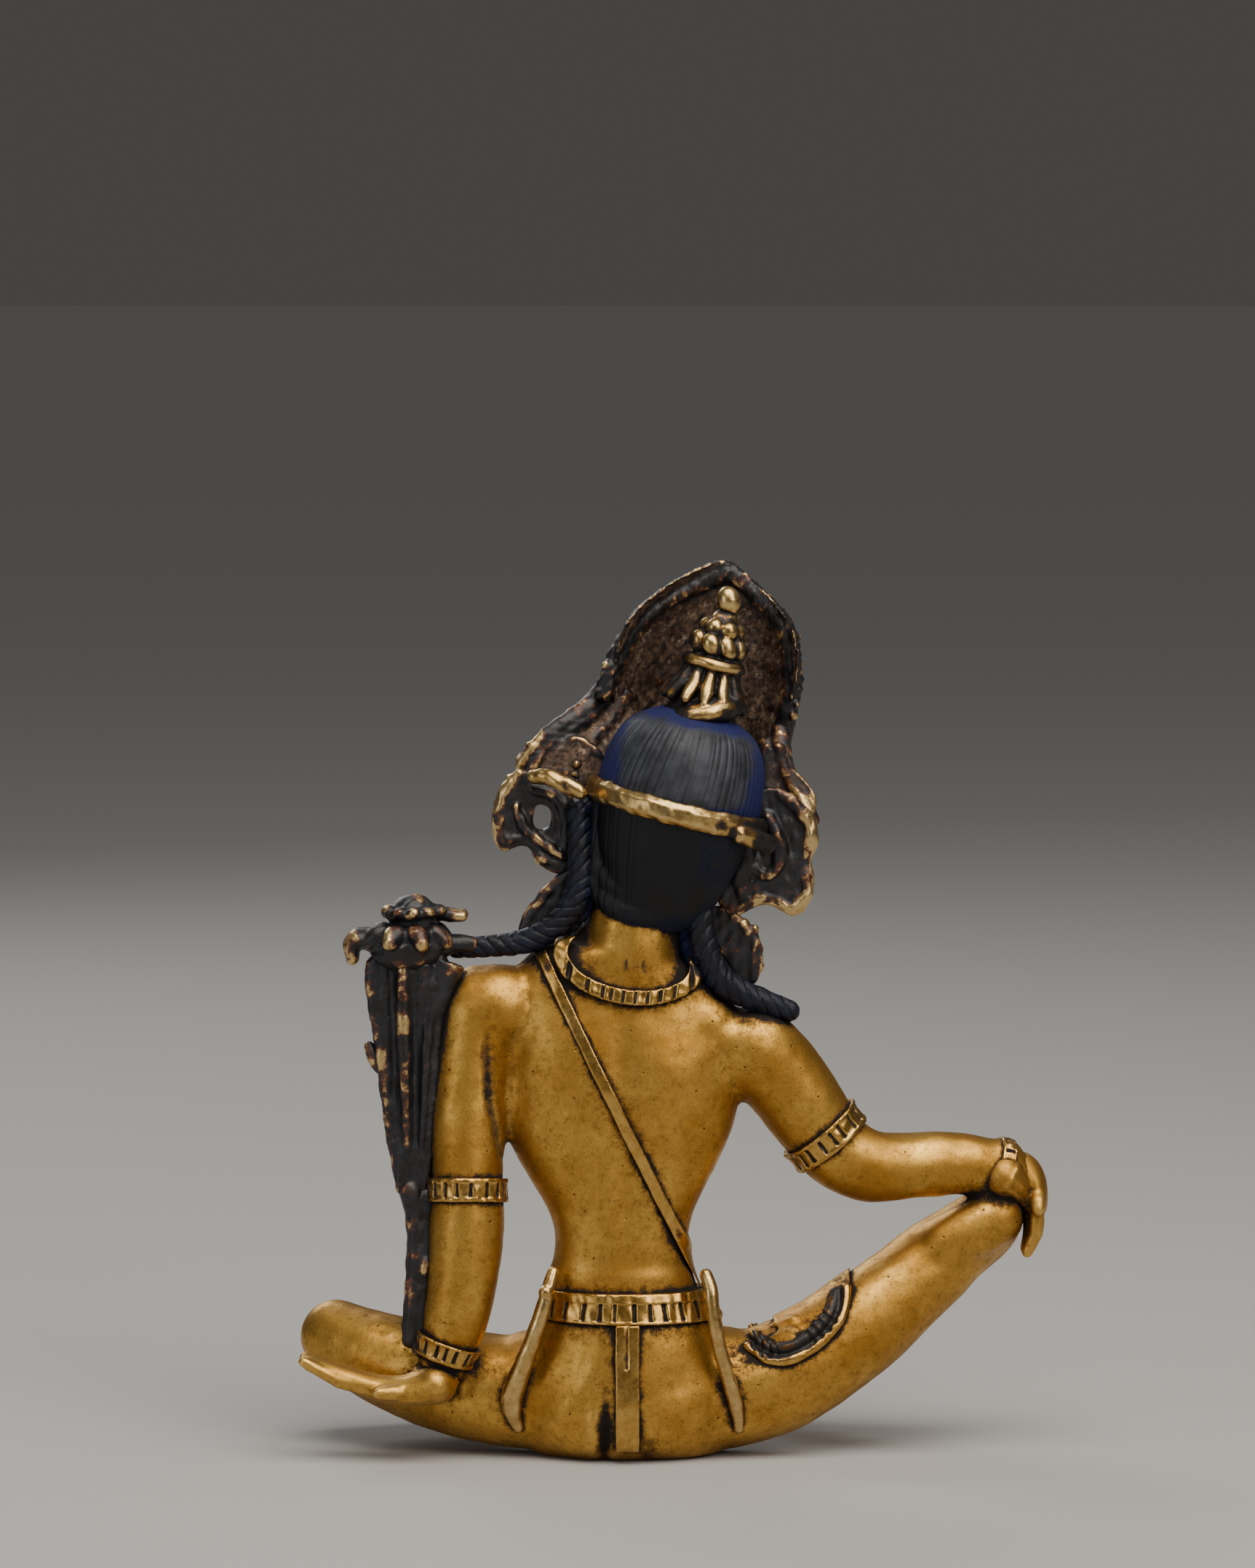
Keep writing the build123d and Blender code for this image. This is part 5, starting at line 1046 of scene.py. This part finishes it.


# ---------------------------------------------------------------- painted shade in sheltered places, dark patches and rubbed edges
# where fingers have worn the black film through to the brass: x, y, z and radius in mm, strength
rubs = (
    (17.4, 1, 84.0, 1.8, 0.75), (17.0, 1, 88.4, 1.7, 0.8), (15.6, 1, 91.2, 1.6, 0.75),
    (14.0, -2, 92.8, 1.4, 0.7), (12.4, 1, 80.4, 1.4, 0.5), (9.6, 2, 81.6, 1.2, 0.4),
    (-24.9, 1, 85.6, 1.9, 0.85), (-25.0, 1, 82.6, 1.8, 0.85), (-23.8, -2, 88.0, 1.6, 0.7),
    (-24.2, 1, 76.0, 1.9, 0.85), (-22.6, 1, 73.8, 1.8, 0.85), (-14.8, 1, 73.8, 1.6, 0.7),
    (-17.8, 1, 75.4, 1.6, 0.6), (-20.6, -3, 91.0, 1.4, 0.5), (-1.6, -13, 114.0, 2.2, 0.55),
    (1.0, -12, 109.6, 2.0, 0.6), (2.6, -11, 105.4, 1.6, 0.5), (-6.2, -13, 117.6, 1.8, 0.4),
    (-21.0, -12, 112.6, 1.6, 0.5), (-22.6, -11, 107.0, 1.8, 0.6), (-22.6, -11, 101.6, 1.8, 0.6),
    (-21.8, -10, 96.4, 1.6, 0.5), (12.6, -2, 95.4, 1.4, 0.6), (36.8, 4, 68.6, 1.8, 0.4),
    (32.4, 8, 71.6, 1.4, 0.45), (29.0, 8, 72.0, 1.4, 0.45), (29.9, 7, 66.4, 1.2, 0.6),
    (29.9, 7, 62.6, 1.4, 0.55), (29.9, 7, 58.6, 1.3, 0.45), (33.9, 5, 63.0, 1.0, 0.4),
    (32.9, 5, 54.6, 1.2, 0.4), (32.0, 5, 46.0, 1.2, 0.4), (27.0, 6, 26.0, 1.3, 0.7),
    (34.3, 4, 55.2, 1.0, 0.6), (-16.9, 1, 70.6, 1.1, 0.4))
# dark patches round a place, mostly in creases, by the neck and bands and under the locks and arms: painted
# shade with old dirt; x, y, z, then its radii in mm, strength
shade_and_dirt_patches = (
    (-16.6, 8, 14.6, 2.2, 6, 2.6, 0.55), (-14.0, 8, 19.0, 1.7, 6, 4.2, 0.5),
    (-22.0, 7, 16.6, 4.6, 6, 4.4, 0.32), (-28.6, 2, 23.0, 1.9, 8, 3.2, 0.5),
    (-27.0, 2, 17.6, 2.6, 8, 2.2, 0.35), (3.1, 9, 4.2, 0.8, 5, 5.2, 0.85),
    (6.4, 3, 67.6, 2.2, 4, 3.4, 0.65), (-7.8, 3, 68.6, 2.2, 4, 3.6, 0.75),
    (-2.9, 9, 1.2, 1.2, 5, 2.2, 0.65), (0, 9, 17.4, 12, 5, 1.2, 0.3), (12.6, 7, 17, 1.5, 5, 6, 0.35),
    (-12.9, 7, 15, 1.2, 5, 6, 0.35), (12.6, 7, 25.4, 3.0, 6, 2.6, 0.3), (-12.6, 7, 24.6, 2.6, 6, 2.6, 0.3),
    (18.5, 5, 52, 1.1, 6, 7, 0.55), (17.2, 5, 43, 0.9, 6, 5, 0.3), (-6.6, 8, 29.6, 1.8, 5, 2.6, 0.4),
    (-2.6, 8, 38.6, 1.0, 5, 2.0, 0.25), (-17.5, 3, 59.6, 4.5, 6, 2.0, 0.45),
    (12.5, 4, 67.2, 5, 6, 1.8, 0.4), (25.4, 4, 58, 1.4, 6, 9, 0.6), (27.6, 4, 44, 1.2, 6, 8, 0.5),
    (29.4, 4, 17, 3, 6, 4, 0.5), (20, 6, 12.5, 5, 6, 1.8, 0.35), (-48.0, -3, 35.0, 4.4, 6, 1.8, 0.5),
    (-3.2, 6, 66.0, 6, 6, 1.2, 0.2), (9.0, 5, 64.8, 2.4, 5, 2.0, 0.4), (-9.4, 5, 65.4, 2.4, 5, 2.2, 0.5),
    (-8.4, 9, 22.6, 3.2, 5, 1.4, 0.5))


def mark_shade_and_wear(pieces, shelter=2.6):
    """Marks how sheltered each point is by what stands round it, as painted shade to which the dark patches
    are added, where it is rubbed, and how far it sticks out, in mm.
    """
    corners, faces = [], []
    for piece in pieces:
        spots = skin_of(piece)[0]
        piece.data.calc_loop_triangles()
        thirds = np.empty(3 * len(piece.data.loop_triangles), dtype=np.int64)
        piece.data.loop_triangles.foreach_get("vertices", thirds)
        faces.append(thirds.reshape(-1, 3) + sum(len(spots) for spots in corners))
        corners.append(spots)
    tree = BVHTree.FromPolygons(np.concatenate(corners).tolist(), np.concatenate(faces).tolist(),
                                all_triangles=True)
    golden = pi * (3 - sqrt(5))
    rays = 9
    sky = []
    for step in range(rays):
        height = 0.92 - 0.72 * step / (rays - 1)
        ring = sqrt(1 - height * height)
        sky.append((ring * cos(golden * step), ring * sin(golden * step), height))
    for piece, spots in zip(pieces, corners):
        outward = skin_of(piece)[1]
        helper = np.where(np.abs(outward[:, 2:3]) < 0.9, (0.0, 0.0, 1.0), (1.0, 0.0, 0.0))
        east = np.cross(helper, outward)
        east /= np.linalg.norm(east, axis=1)[:, None]
        north = np.cross(outward, east)
        starts = (spots + 0.06 * outward).tolist()
        blocked = np.zeros(len(spots))
        for a, b, c in sky:
            ways = (a * east + b * north + c * outward).tolist()
            for number, (start, way) in enumerate(zip(starts, ways)):
                distance = tree.ray_cast(start, way, shelter)[3]
                if distance is not None:
                    blocked[number] += 1 - distance / shelter
        edges = np.empty(2 * len(piece.data.edges), dtype=np.int64)
        piece.data.edges.foreach_get("vertices", edges)
        edges = edges.reshape(-1, 2)
        # painted shade: the softened share of blocked rays darkens sheltered places, and the dark patches are
        # added to it
        shade_and_dirt = spread((blocked / rays)[:, None], edges, 2)[:, 0] * 1.7
        for x, y, z, wide, deep, high, strength in shade_and_dirt_patches:
            shade_and_dirt += strength * dips(spots, (x, y, z), (wide, deep, high))
        mark(piece, "shade_and_grime", shade_and_dirt)
        mark(piece, "rub", sum(strength * dips(spots, place, radius) for *place, radius, strength in rubs))
        step = np.linalg.norm(spots[edges[:, 0]] - spots[edges[:, 1]], axis=1).mean()
        rounds = int(min(40, max(4, (0.75 / step) ** 2 * 2)))
        even = spread(spots, edges, rounds)
        mark(piece, "ridge", ((spots - even) * outward).sum(axis=1))


mark_shade_and_wear(made)

# ---------------------------------------------------------------- floor, lights, camera
form = bmesh.new()
bmesh.ops.create_grid(form, x_segments=1, y_segments=1, size=60.0)
ground = bpy.data.meshes.new("floor")
form.to_mesh(ground)
form.free()
floor = bpy.data.objects.new("floor", ground)
bpy.context.scene.collection.objects.link(floor)
# matt uncoated paper, which gives soft shadows and no reflection
paper, add, spots = start_material("pale_grey_paper")
shader = add("BsdfPrincipled", {"Base Color": linear("#A8A7A6"), "Roughness": 0.85})
add("OutputMaterial", {"Surface": shader})
ground.materials.append(paper)

# square studio lamps pointed at the figure: place and size in metres, power in watts, tint
middle = Vector((0, 0, 0.06))
for name, place, size, power, tint in (
        ("overhead", (-0.10, 0.30, 0.74), (0.75, 0.55), 7.5, "#FFF8EE"),
        ("key", (-0.46, 0.62, 0.48), (0.38, 0.42), 2.6, "#FFF6EA"),
        ("fill", (0.60, 0.52, 0.22), (0.30, 0.40), 0.9, "#F4F6FF"),
        ("front", (0.30, -0.62, 0.50), (0.35, 0.35), 1.7, "#FFFFFF")):
    lamp = bpy.data.lights.new(name, "AREA")
    lamp.shape = "RECTANGLE"
    lamp.size, lamp.size_y = size
    lamp.energy = power
    lamp.color = linear(tint)[:3]
    holder = bpy.data.objects.new(name, lamp)
    bpy.context.scene.collection.objects.link(holder)
    holder.location = place
    holder.rotation_euler = (middle - Vector(place)).to_track_quat("-Z", "Y").to_euler()

# a dim room: darker walls, paler ceiling
world = bpy.data.worlds.new("studio")
bpy.context.scene.world = world
world.use_nodes = True
room = world.node_tree
add = partial(add_node, room)
upward = add("SeparateXYZ", {"Vector": add("TexCoord", out="Generated")}, "Z")
height = add("MapRange", {"Value": upward, "From Min": 0.08, "From Max": 0.7})
room.links.new(lay_coats(add, "#4A4745", (height, "#7B7A79")), room.nodes["Background"].inputs["Color"])

lens = bpy.data.cameras.new("camera")
lens.sensor_fit = "VERTICAL"
lens.sensor_height = 36
reach = 0.95
view_height = 0.2098
lens.lens = lens.sensor_height * reach / view_height
lens.clip_start = 0.01
camera = bpy.data.objects.new("camera", lens)
bpy.context.scene.collection.objects.link(camera)
tilt = radians(4.0)
aim = Vector((0, 0, 0.0904))
camera.location = aim + Vector((0, reach * cos(tilt), reach * sin(tilt)))
camera.rotation_euler = (aim - camera.location).to_track_quat("-Z", "Y").to_euler()
bpy.context.scene.camera = camera
